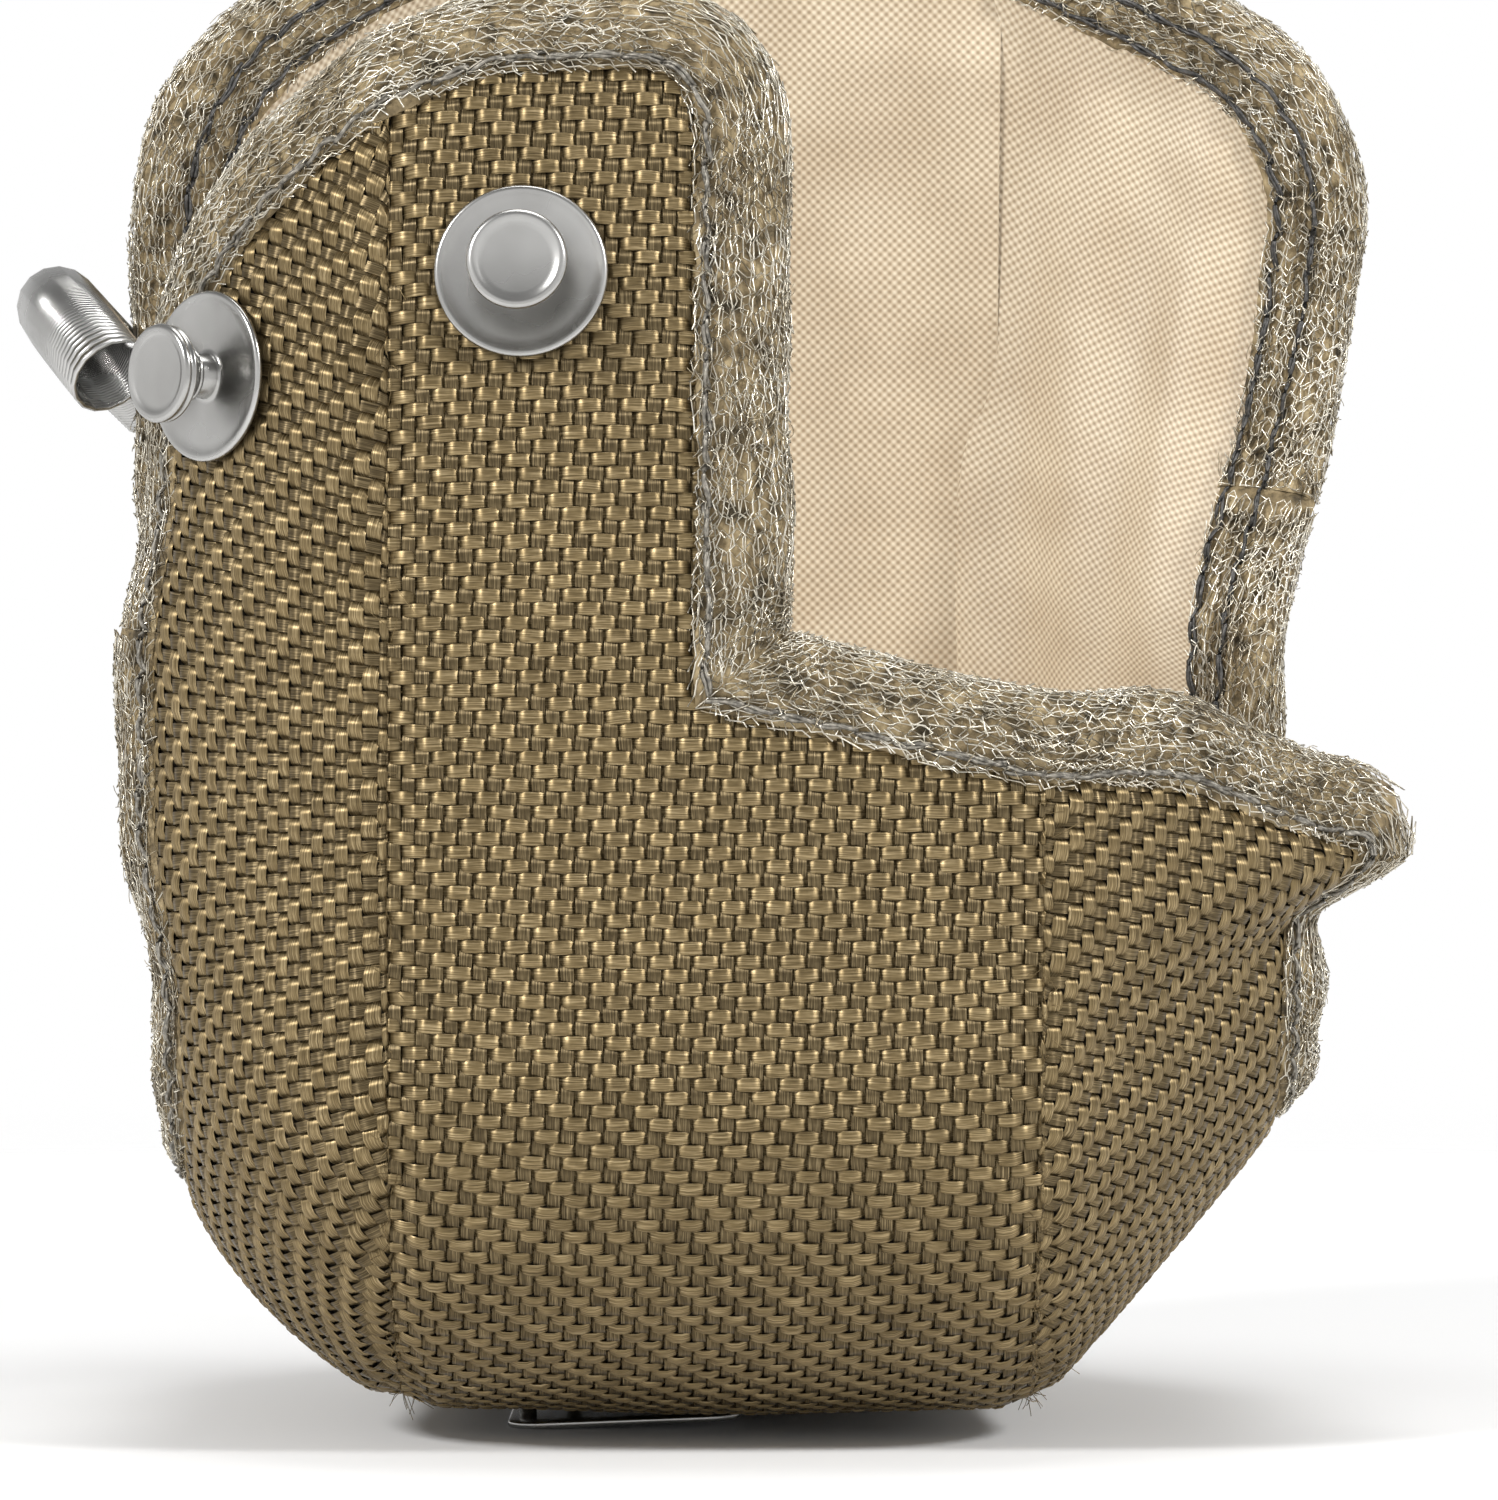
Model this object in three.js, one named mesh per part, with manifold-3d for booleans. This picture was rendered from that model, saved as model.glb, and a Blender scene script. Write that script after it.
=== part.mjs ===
// A heat blanket for the turbine housing of a turbocharger. It is a saddle of insulated cloth that
// wraps the housing from below and opens upwards: a front leg, a belly and a rear leg, with a side
// panel sewn on at each seam. Millimetres, X along the shaft, Y to the rear, Z up, belly at the bottom.
import * as THREE from 'three';
import Module from 'manifold-3d';
import { mergeVertices } from 'three/addons/utils/BufferGeometryUtils.js';

const wasm = await Module();
wasm.setup();

// Saddle, driving dimensions. Angles in degrees.
const HALF_DEPTH = 68;
const BELLY_HEIGHT = 2.75;
const CORNER_RADIUS = 42;
const LEG_BEND_HEIGHT = 94;
const LEG_BEND_RADIUS = 300;
const AXIS_HEIGHT = 78;
const STRIP_LEFT = 39.7;
const STRIP_RIGHT = 32.5;
const STRIP_CROWN = 1.2;

// Side panels: width of the cloth from the seam to the hem, and how steeply it turns inwards.
const LEFT_WIDTH = 38;
const RIGHT_WIDTH = 46;
const LEFT_SEAM_ANGLE = 25;
const LEFT_NECK_ANGLE = 65;
const LEFT_BELLY_ANGLE = 80;
const LEFT_FRONT_ANGLE = 78;
const LEFT_REAR_ANGLE = 48;
const RIGHT_SEAM_ANGLE = 30;
const RIGHT_NECK_ANGLE = 42;
const RIGHT_BELLY_EXTRA = 15.5;

// Heights between which those angles change.
const LEFT_BELLY_TURN = [34, 67];
const LEFT_FRONT_TURN = [96, 126];
const LEFT_REAR_TURN = [90, 130];
const RIGHT_FRONT_TURN = [40, 62];
const RIGHT_REAR_TURN = [105, 180];

// Edges of the cloth: heights on the front leg, on the rear leg, and the cut-out at the front right.
const FRONT_TOP = 154.5;
const FRONT_SHOULDER = 150.5;
const FRONT_RIM_TOP = 141;
const CUTOUT_EDGE = 5;
const CUTOUT_BOTTOM = 84;
const CUTOUT_SEAM = 75.4;
const CUTOUT_TIP = 62;
const REAR_LEFT_TOP = 178;
const REAR_SHOULDER = 181;
const REAR_RIGHT_TOP = 182;

// Heights at which one hem ends and the next begins.
const LEFT_SPLIT_FRONT = 100;
const LEFT_SPLIT_REAR = 110;
const RIGHT_SPLIT_REAR = 130;

// Layers, from the outside in, and the gap that separate pieces keep.
const COVER = 1.8;
const INSULATION = 5.4;
const LINING = 0.8;
const LAYER_GAP = 0.5;
const GAP = 0.3;
const SEAM_PINCH = 0.8;

// Twill: raised wales across the cloth.
const WALE_PITCH = 8.8;
const WALE_RIDGE = 0.55;

// Hem of knitted mesh tape.
const HEM_WIDTH = 9.5;
const HEM_STEP = 15;

// Lacing capstans.
const BASE_RADIUS = 9.5;
const BASE_STEP_RADIUS = 7;
const POST_RADIUS = 2.4;
const POST_HEIGHT = 5.6;
const HEAD_RADIUS = 5.4;
const HEAD_HEIGHT = 1.9;
const SHANK_RADIUS = 1.2;
const SHANK_CLEARANCE = 0.3;
const BACKING_RADIUS = 6;
const BACKING_THICKNESS = 0.8;
const LINING_SAG = 1.2;
const STRIP_CAPSTAN_X = -24.8;
const STRIP_CAPSTAN_HEIGHT = 131;
const SIDE_CAPSTAN_WIDTH = 25.6;
const SIDE_CAPSTAN_HEIGHT = 131;

// Closing spring, hooked between the two side capstans round the neck of the housing.
const SPRING_RADIUS = 4.9;
const SPRING_WIRE = 1.2;
const SPRING_PITCH = 6;
const SPRING_REACH = 16;
const SPRING_RISE = 13;
const SPRING_SETBACK = 11.4;
const SPRING_FRONT_STAND = 1.4;
const SPRING_REAR_STAND = 4.3;

// Plate under the belly.
const PLATE_LEFT = -28;
const PLATE_LENGTH = 27;
const PLATE_DEPTH = 46;
const PLATE_THICKNESS = 0.8;
const PLATE_CORNER = 4;
const RIVET_RADIUS = 1;
const RIVET_HEAD_RADIUS = 1.8;
const RIVET_HEAD_THICKNESS = 0.8;
const RIVET_CLEARANCE = 0.4;
const RIVET_PLACES = [[-25.7, -18], [-21.3, 15]];

const TRIM_MARGIN = 4;
const RAD = Math.PI / 180;
const LAYERS_DEPTH = COVER + INSULATION + LINING + 2 * LAYER_GAP;
const STRIP_MIDDLE = (STRIP_RIGHT - STRIP_LEFT) / 2;
const STRIP_HALF = (STRIP_LEFT + STRIP_RIGHT) / 2;
const BELLY_HALF = HALF_DEPTH - CORNER_RADIUS;
const CORNER_LENGTH = CORNER_RADIUS * Math.PI / 2;
const LEG_STRAIGHT = LEG_BEND_HEIGHT - BELLY_HEIGHT - CORNER_RADIUS;

const materials = {
  twill: new THREE.MeshStandardMaterial({ color: 0x857350, roughness: 0.55, metalness: 0.1 }),
  fibre: new THREE.MeshStandardMaterial({ color: 0xd8cdb4, roughness: 0.95, metalness: 0 }),
  lining: new THREE.MeshStandardMaterial({ color: 0xe0c8a6, roughness: 0.8, metalness: 0 }),
  mesh: new THREE.MeshStandardMaterial({ color: 0xa39c86, roughness: 0.5, metalness: 0.5 }),
  steel: new THREE.MeshStandardMaterial({ color: 0x9d9c98, roughness: 0.25, metalness: 1 }),
};

const mix = (a, b, t) => a + (b - a) * t;

function smooth(low, high, value) {
  const t = Math.min(1, Math.max(0, (value - low) / (high - low)));
  return t * t * (3 - 2 * t);
}

// Outline of the saddle seen from the side, by its length s from the middle of the belly.
// s is negative on the front leg and positive on the rear leg.
function outline(s) {
  const side = s < 0 ? -1 : 1;
  const run = Math.abs(s) - BELLY_HALF;
  if (run <= 0) return { y: s, z: BELLY_HEIGHT };
  if (run <= CORNER_LENGTH) {
    const turn = run / CORNER_RADIUS;
    return {
      y: side * (BELLY_HALF + CORNER_RADIUS * Math.sin(turn)),
      z: BELLY_HEIGHT + CORNER_RADIUS * (1 - Math.cos(turn)),
    };
  }
  const rise = run - CORNER_LENGTH;
  if (rise <= LEG_STRAIGHT) return { y: side * HALF_DEPTH, z: BELLY_HEIGHT + CORNER_RADIUS + rise };
  const lean = (rise - LEG_STRAIGHT) / LEG_BEND_RADIUS;
  return {
    y: side * (HALF_DEPTH - LEG_BEND_RADIUS * (1 - Math.cos(lean))),
    z: LEG_BEND_HEIGHT + LEG_BEND_RADIUS * Math.sin(lean),
  };
}

// Length along the outline at which a leg reaches a height.
function lengthAt(height) {
  let low = BELLY_HALF + CORNER_LENGTH;
  let high = low + 2 * LEG_BEND_RADIUS;
  for (let i = 0; i < 40; i += 1) {
    const middle = (low + high) / 2;
    if (outline(middle).z < height) low = middle;
    else high = middle;
  }
  return low;
}

const front = (height) => -lengthAt(height);
const rear = (height) => lengthAt(height);

// Angles of a side panel at its seam and at its hem, where the outline is at height z.
function panelAngles(left, s, z) {
  if (left) {
    const neck = mix(LEFT_BELLY_ANGLE, LEFT_NECK_ANGLE, smooth(...LEFT_BELLY_TURN, z));
    const [top, turn] = s < 0 ? [LEFT_FRONT_ANGLE, LEFT_FRONT_TURN] : [LEFT_REAR_ANGLE, LEFT_REAR_TURN];
    return [LEFT_SEAM_ANGLE, mix(neck, top, smooth(...turn, z))];
  }
  const open = smooth(...(s < 0 ? RIGHT_FRONT_TURN : RIGHT_REAR_TURN), z);
  const extra = mix(RIGHT_BELLY_EXTRA, 0, open);
  return [RIGHT_SEAM_ANGLE + extra, RIGHT_NECK_ANGLE + extra];
}

// Outer face of the blanket: u runs across the cloth, from the left hem to the right hem.
function face(s, u) {
  const at = outline(s);
  let x = u;
  let depth = STRIP_CROWN * ((u - STRIP_MIDDLE) / STRIP_HALF) ** 2;
  const left = u < -STRIP_LEFT;
  if (left || u > STRIP_RIGHT) {
    const seam = left ? -STRIP_LEFT : STRIP_RIGHT;
    const across = Math.abs(u - seam);
    const width = (left ? LEFT_WIDTH : RIGHT_WIDTH) + HEM_WIDTH;
    const [start, end] = panelAngles(left, s, at.z).map((angle) => angle * RAD);
    const radius = width / (end - start);
    const angle = start + across / radius;
    x = seam + (left ? -1 : 1) * radius * (Math.sin(angle) - Math.sin(start));
    depth = STRIP_CROWN + radius * (Math.cos(start) - Math.cos(angle));
  }
  const reach = Math.hypot(at.y, AXIS_HEIGHT - at.z);
  return new THREE.Vector3(
    x,
    at.y - depth * at.y / reach,
    at.z + depth * (AXIS_HEIGHT - at.z) / reach,
  );
}

// Outward normal of that face. Both sides of a seam share the normal of the seam itself.
function normal(s, u) {
  const step = 2;
  const seam = [-STRIP_LEFT, STRIP_RIGHT].find((edge) => Math.abs(edge - u) < GAP);
  const at = seam ?? u;
  const along = face(s + step, at).sub(face(s - step, at));
  const across = face(s, at + step).sub(face(s, at - step));
  return along.cross(across).normalize();
}

// A point at a height above the outer face (negative is inside).
const lift = (s, u, height) => face(s, u).addScaledVector(normal(s, u), height);

// Triangles of a closed sheet between an outer and an inner grid of points. The grids may differ in
// fineness, and their edges are zipped together.
function sheet(outer, inner) {
  const points = [];
  const triangles = [];
  const index = (grid) => grid.map((column) => column.map((point) => points.push(point) - 1));
  const a = index(outer);
  const b = index(inner);
  const tile = (grid, flip) => {
    for (let i = 0; i + 1 < grid.length; i += 1) {
      for (let j = 0; j + 1 < grid[i].length; j += 1) {
        const p = grid[i][j];
        const q = grid[i + 1][j];
        const r = grid[i + 1][j + 1];
        const t = grid[i][j + 1];
        const short = points[p].distanceTo(points[r]) < points[q].distanceTo(points[t]);
        const pair = short ? [[p, q, r], [p, r, t]] : [[p, q, t], [q, r, t]];
        for (const [k, l, m] of pair) triangles.push(flip ? [k, m, l] : [k, l, m]);
      }
    }
  };
  tile(a, false);
  tile(b, true);
  const edges = (grid) => [
    grid.map((column) => column[0]),
    grid.at(-1),
    grid.map((column) => column.at(-1)).reverse(),
    [...grid[0]].reverse(),
  ];
  const inside = edges(b);
  const span = (k, l) => points[k].distanceTo(points[l]);
  edges(a).forEach((edge, side) => {
    const other = inside[side];
    let i = 0;
    let j = 0;
    while (i + 1 < edge.length || j + 1 < other.length) {
      const last = j + 1 === other.length;
      if (last || (i + 1 < edge.length && span(edge[i + 1], other[j]) < span(edge[i], other[j + 1]))) {
        triangles.push([edge[i + 1], edge[i], other[j]]);
        i += 1;
      } else {
        triangles.push([edge[i], other[j], other[j + 1]]);
        j += 1;
      }
    }
  });
  return solidOf(points, triangles);
}

// A manifold solid from points and triangles, turned so that its faces point out.
function solidOf(points, triangles) {
  let volume = 0;
  for (const [a, b, c] of triangles) {
    volume += points[a].dot(new THREE.Vector3().crossVectors(points[b], points[c]));
  }
  const turned = volume < 0 ? triangles.map(([a, b, c]) => [a, c, b]) : triangles;
  return new wasm.Manifold(new wasm.Mesh({
    numProp: 3,
    vertProperties: new Float32Array(points.flatMap((point) => point.toArray())),
    triVerts: new Uint32Array(turned.flat()),
  }));
}

// A manifold solid from a closed three.js geometry.
function solidFrom(geometry, matrix) {
  const bare = geometry.clone();
  bare.deleteAttribute('normal');
  bare.deleteAttribute('uv');
  if (matrix) bare.applyMatrix4(matrix);
  const merged = mergeVertices(bare, 1e-4);
  return new wasm.Manifold(new wasm.Mesh({
    numProp: 3,
    vertProperties: new Float32Array(merged.attributes.position.array),
    triVerts: new Uint32Array(merged.index.array),
  }));
}

function geometryOf(solid) {
  const mesh = solid.getMesh();
  const geometry = new THREE.BufferGeometry();
  geometry.setAttribute('position', new THREE.BufferAttribute(mesh.vertProperties, 3));
  geometry.setIndex(new THREE.BufferAttribute(mesh.triVerts, 1));
  geometry.computeVertexNormals();
  return geometry;
}

// Even steps from a to b, each at most step long.
function steps(a, b, step) {
  const count = Math.max(1, Math.ceil(Math.abs(b - a) / step));
  return Array.from({ length: count + 1 }, (_, i) => mix(a, b, i / count));
}

// Stations along the saddle: close together round the corners and where the side panels turn,
// further apart on the legs.
const FRONT_END = front(FRONT_TOP) - 25;
const REAR_END = rear(REAR_RIGHT_TOP) + 25;
const CORNER_END = BELLY_HALF + CORNER_LENGTH;
const stations = [
  ...steps(FRONT_END, front(126), 42),
  front(111),
  front(96),
  front(67),
  front(60),
  front(52),
  -CORNER_END,
  ...steps(-CORNER_END, -BELLY_HALF, CORNER_LENGTH / 5).slice(1),
  ...steps(-BELLY_HALF, BELLY_HALF, 2 * BELLY_HALF).slice(1),
  ...steps(BELLY_HALF, CORNER_END, CORNER_LENGTH / 5).slice(1),
  ...steps(rear(67), REAR_END, 42),
];

// Lines across the cloth of each panel. The seams keep the gap between the pieces.
const LEFT_RIM = -STRIP_LEFT - LEFT_WIDTH;
const RIGHT_RIM = STRIP_RIGHT + RIGHT_WIDTH;
const RIM_TO_RIM = RIGHT_RIM - LEFT_RIM;
const panels = {
  left: {
    rows: steps(LEFT_RIM, -STRIP_LEFT - GAP / 2, 13),
    backs: steps(LEFT_RIM, -STRIP_LEFT - GAP / 2, 20),
    slant: -1,
    start: FRONT_END,
    seams: [false, true],
  },
  strip: {
    rows: steps(-STRIP_LEFT + GAP / 2, STRIP_RIGHT - GAP / 2, 18),
    backs: steps(-STRIP_LEFT + GAP / 2, STRIP_RIGHT - GAP / 2, 40),
    slant: 1,
    start: FRONT_END,
    seams: [true, true],
  },
  right: {
    rows: steps(STRIP_RIGHT + GAP / 2, RIGHT_RIM, 15.5),
    backs: steps(STRIP_RIGHT + GAP / 2, RIGHT_RIM, 24),
    slant: -1,
    start: FRONT_END,
    seams: [true, false],
  },
};

// A plain grid of points on the given lines, at a height above the outer face.
const plain = (rows, height) => stations.map((s) => rows.map((u) => lift(s, u, height)));

// The twill of a panel: slanting wales on a plain back, pulled in where the panel is sewn.
function twill({ rows, backs, slant, start, seams }) {
  const width = rows.at(-1) - rows[0];
  const count = Math.ceil((REAR_END - start + width) / WALE_PITCH);
  const first = slant > 0 ? start - width : start + width;
  const columns = Array.from({ length: 2 * count + 1 }, (_, i) => i);
  const outer = columns.map((i) => rows.map((u, j) => {
    const s = first + i * WALE_PITCH / 2 + slant * (u - rows[0]);
    const sewn = (j === 0 && seams[0]) || (j === rows.length - 1 && seams[1]);
    const ridge = i % 2 ? WALE_RIDGE : 0;
    return lift(s, u, sewn ? -SEAM_PINCH : ridge);
  }));
  return sheet(outer, plain(backs, -COVER));
}

// A plain layer between two heights on the given lines.
const layer = (rows, top, bottom) => sheet(plain(rows, top), plain(rows, bottom));

// The edge of the cloth as a closed ring of corners in (u, s), each with the radius of its curve.
const ring = [
  [LEFT_RIM, front(LEFT_SPLIT_FRONT), 0],
  [LEFT_RIM, front(FRONT_RIM_TOP), 22],
  [-STRIP_LEFT, front(FRONT_SHOULDER), 40],
  [-STRIP_LEFT * 0.7, front(FRONT_TOP), 20],
  [-CUTOUT_EDGE, front(FRONT_TOP), 9],
  [-CUTOUT_EDGE, front(CUTOUT_BOTTOM), 0],
  [STRIP_RIGHT, front(CUTOUT_SEAM), 0],
  [STRIP_RIGHT + RIGHT_WIDTH * 0.4, front(CUTOUT_SEAM), 20],
  [RIGHT_RIM, front(CUTOUT_TIP), 3],
  [RIGHT_RIM, rear(RIGHT_SPLIT_REAR), 0],
  [RIGHT_RIM, rear(REAR_RIGHT_TOP), 14],
  [STRIP_RIGHT, rear(REAR_RIGHT_TOP - 2), 0],
  [-STRIP_LEFT, rear(REAR_SHOULDER), 40],
  [LEFT_RIM, rear(REAR_LEFT_TOP), 18],
  [LEFT_RIM, rear(LEFT_SPLIT_REAR), 0],
];

// Points of the ring, with curves at its corners. The ends of the four hems are marked.
function ringPoints() {
  const result = [];
  const marks = [];
  ring.forEach(([u, s, radius], i) => {
    const corner = new THREE.Vector2(u, s);
    const [before, after] = [ring.at(i - 1), ring[(i + 1) % ring.length]].map((to) => (
      new THREE.Vector2(to[0], to[1]).sub(corner)
    ));
    const first = result.length;
    if (radius) {
      const half = before.angleTo(after) / 2;
      const reach = Math.min(radius / Math.tan(half), 0.45 * before.length(), 0.45 * after.length());
      const from = corner.clone().addScaledVector(before.clone().normalize(), reach);
      const to = corner.clone().addScaledVector(after.clone().normalize(), reach);
      const curve = new THREE.QuadraticBezierCurve(from, corner, to);
      result.push(...curve.getPoints(Math.max(2, Math.round((Math.PI / 2 - half) * 5))));
    } else {
      result.push(corner);
    }
    marks.push([first, result.length - 1]);
    const last = result.at(-1);
    const next = ring[(i + 1) % ring.length];
    const goal = new THREE.Vector2(next[0], next[1]);
    const stop = next[2] ? Math.min(next[2], 0.45 * last.distanceTo(goal)) : 0;
    const span = last.distanceTo(goal) - stop;
    const inner = steps(0, span, HEM_STEP).slice(1, stop ? undefined : -1);
    for (const at of inner.slice(0, stop ? -1 : undefined)) {
      result.push(last.clone().lerp(goal, at / last.distanceTo(goal)));
    }
  });
  return { points: result, marks };
}

const edge = ringPoints();

// At each point of the edge: its place, the normal, and the way out of the cloth, mitred.
const frames = edge.points.map((point, i) => {
  const count = edge.points.length;
  const before = edge.points[(i + count - 1) % count];
  const after = edge.points[(i + 1) % count];
  const place = face(point.y, point.x);
  const up = normal(point.y, point.x);
  const outwards = (from, to) => {
    const way = face(to.y, to.x).sub(face(from.y, from.x));
    return up.clone().cross(way).normalize();
  };
  const one = outwards(before, point);
  const two = outwards(point, after);
  const out = one.clone().add(two).divideScalar(1 + one.dot(two));
  return { place, up, out, along: two };
});

// Section of a hem: distance out from the edge of the cloth, and height.
const HEM_ROOT = LAYERS_DEPTH * 0.8;
const hemSection = [
  [2 * GAP, -1.2],
  [HEM_WIDTH * 0.45, -0.1],
  [HEM_WIDTH * 0.9, -1.4],
  [HEM_WIDTH, -3.6],
  [HEM_WIDTH * 0.85, -6.2],
  [4 * GAP, -HEM_ROOT],
];

// A length of hem between two points of the edge. With room it lies that much further in.
function hem(from, to, room = 0) {
  const count = frames.length;
  const length = (to - from + count) % count;
  const section = (k) => {
    const frame = frames[(from + k) % count];
    return hemSection.map(([out, height]) => (
      frame.place.clone().addScaledVector(frame.out, out - room).addScaledVector(frame.up, height)
    ));
  };
  const sections = Array.from({ length: length + 1 }, (_, k) => section(k));
  const draw = (near, next) => near.map((point, j) => (
    point.addScaledVector(next[j].clone().sub(point).normalize(), GAP / 2)
  ));
  draw(sections[0], sections[1]);
  draw(sections.at(-1), sections.at(-2));
  const points = sections.flat();
  const sides = hemSection.length;
  const triangles = [];
  for (let k = 0; k < length; k += 1) {
    for (let j = 0; j < sides; j += 1) {
      const a = k * sides + j;
      const b = k * sides + (j + 1) % sides;
      triangles.push([a, b, b + sides], [a, b + sides, a + sides]);
    }
  }
  for (let j = 1; j + 1 < sides; j += 1) {
    const end = length * sides;
    triangles.push([0, j + 1, j], [end, end + j, end + j + 1]);
  }
  return solidOf(points, triangles);
}

// A wedge of space beyond a stretch of the edge, through all layers, which trims them.
function beyond(from, to, far) {
  const count = edge.points.length;
  const near = [];
  for (let k = from; k !== (to + 1) % count; k = (k + 1) % count) near.push(edge.points[k]);
  const sides = [LEFT_RIM - 3 * HEM_WIDTH, RIGHT_RIM + 3 * HEM_WIDTH];
  const past = new THREE.Vector2(near[0].x < near.at(-1).x ? HEM_WIDTH : -HEM_WIDTH, 0);
  near.unshift(near[0].clone().sub(past));
  near.push(near.at(-1).clone().add(past));
  if (past.x < 0) sides.reverse();
  const rows = near.map((point, i) => (
    [point, new THREE.Vector2(mix(...sides, i / (near.length - 1)), far)]
  ));
  const grid = (height) => rows.map((pair) => steps(0, 1, 0.34).map((t) => {
    const at = pair[0].clone().lerp(pair[1], t);
    return lift(at.y, at.x, height);
  }));
  return sheet(grid(TRIM_MARGIN), grid(-LAYERS_DEPTH - TRIM_MARGIN));
}

// Frames of the four capstans: a on the front of the strip, b on the left panel, c and d behind them.
const capstans = {
  a: [front(STRIP_CAPSTAN_HEIGHT), STRIP_CAPSTAN_X],
  b: [front(SIDE_CAPSTAN_HEIGHT), -STRIP_LEFT - SIDE_CAPSTAN_WIDTH],
  c: [rear(STRIP_CAPSTAN_HEIGHT), STRIP_CAPSTAN_X],
  d: [rear(SIDE_CAPSTAN_HEIGHT), -STRIP_LEFT - SIDE_CAPSTAN_WIDTH],
};

// Moves a shape that stands on Z onto the blanket at a capstan.
function onFace([s, u]) {
  const turn = new THREE.Quaternion().setFromUnitVectors(new THREE.Vector3(0, 0, 1), normal(s, u));
  const place = face(s, u).addScaledVector(normal(s, u), WALE_RIDGE);
  return new THREE.Matrix4().compose(place, turn, new THREE.Vector3(1, 1, 1));
}

// A turned shape from (radius, height) pairs.
function turned(profile, segments) {
  const closed = profile[0][0] === 0 ? profile : [...profile, profile[0]];
  const points = closed.map(([radius, height]) => new THREE.Vector2(radius, height));
  const geometry = new THREE.LatheGeometry(points, segments);
  return geometry.rotateX(Math.PI / 2);
}

const BASE_THICKNESS = 0.7;
const BASE_DISH = 0.5;
const POST_JOINT = POST_HEIGHT * 0.5;
const BACKING_DEPTH = LAYERS_DEPTH + WALE_RIDGE + GAP + LINING_SAG;

const capstanBase = () => turned([
  [SHANK_RADIUS + SHANK_CLEARANCE, GAP],
  [BASE_RADIUS, GAP],
  [BASE_RADIUS, GAP + BASE_THICKNESS],
  [BASE_STEP_RADIUS, GAP + BASE_THICKNESS + BASE_DISH],
  [POST_RADIUS, GAP + BASE_THICKNESS + BASE_DISH / 2],
  [POST_RADIUS, GAP + POST_JOINT],
  [SHANK_RADIUS + SHANK_CLEARANCE, GAP + POST_JOINT],
], 14);

const capstanHead = () => {
  const top = GAP + POST_HEIGHT;
  return turned([
    [0, -BACKING_DEPTH - BACKING_THICKNESS - GAP],
    [SHANK_RADIUS, -BACKING_DEPTH - BACKING_THICKNESS - GAP],
    [SHANK_RADIUS, 2 * GAP + POST_JOINT],
    [POST_RADIUS, 2 * GAP + POST_JOINT],
    [POST_RADIUS, top],
    [HEAD_RADIUS * 0.96, top],
    [HEAD_RADIUS * 0.88, top + HEAD_HEIGHT * 0.4],
    [HEAD_RADIUS, top + HEAD_HEIGHT * 0.75],
    [HEAD_RADIUS * 0.9, top + HEAD_HEIGHT],
    [0, top + HEAD_HEIGHT],
  ], 11);
};

const capstanBacking = () => turned([
  [SHANK_RADIUS + SHANK_CLEARANCE, -BACKING_DEPTH - BACKING_THICKNESS],
  [BACKING_RADIUS, -BACKING_DEPTH - BACKING_THICKNESS],
  [BACKING_RADIUS, -BACKING_DEPTH],
  [SHANK_RADIUS + SHANK_CLEARANCE, -BACKING_DEPTH],
], 10);

// The hole that a shank passes through.
const shankHole = (place) => {
  const length = 4 * LAYERS_DEPTH;
  const hole = new THREE.CylinderGeometry(SHANK_RADIUS + GAP, SHANK_RADIUS + GAP, length, 8);
  return solidFrom(hole.rotateX(Math.PI / 2), onFace(place));
};

// The plate under the belly: its left edge hangs lowest and its right edge meets the cloth.
const plateRise = BELLY_HEIGHT - WALE_RIDGE - GAP - PLATE_THICKNESS;
const plateTilt = Math.asin(plateRise / PLATE_LENGTH);
const platePlace = new THREE.Matrix4().makeRotationY(-plateTilt).setPosition(PLATE_LEFT, 0, 0);

// A rivet ends flush with the underside of the plate, and its head lies on the inside of the cover.
const rivetFoot = ([x]) => (x - PLATE_LEFT) * Math.tan(plateTilt) + 0.1;
const rivetSeat = ([x, y]) => lift(y, x, -COVER).z + GAP;

const rivet = (place) => turned([
  [0, rivetFoot(place)],
  [RIVET_RADIUS, rivetFoot(place)],
  [RIVET_RADIUS, rivetSeat(place)],
  [RIVET_HEAD_RADIUS, rivetSeat(place)],
  [RIVET_HEAD_RADIUS, rivetSeat(place) + RIVET_HEAD_THICKNESS],
  [0, rivetSeat(place) + RIVET_HEAD_THICKNESS],
], 6);

// The space that a rivet needs in the cover and in the insulation.
function rivetSpace(place) {
  const top = rivetSeat(place) + RIVET_HEAD_THICKNESS + RIVET_CLEARANCE;
  const space = turned([
    [0, 0],
    [RIVET_RADIUS + RIVET_CLEARANCE, 0],
    [RIVET_RADIUS + RIVET_CLEARANCE, rivetSeat(place) - GAP / 2],
    [RIVET_HEAD_RADIUS + RIVET_CLEARANCE, rivetSeat(place) - GAP / 2],
    [RIVET_HEAD_RADIUS + RIVET_CLEARANCE, top],
    [0, top],
  ], 6);
  return solidFrom(space, new THREE.Matrix4().setPosition(...place, 0));
}

const blanket = new THREE.Group();

function add(name, geometry, material) {
  const mesh = new THREE.Mesh(geometry, materials[material].clone());
  mesh.name = name;
  blanket.add(mesh);
  return mesh;
}

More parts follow.
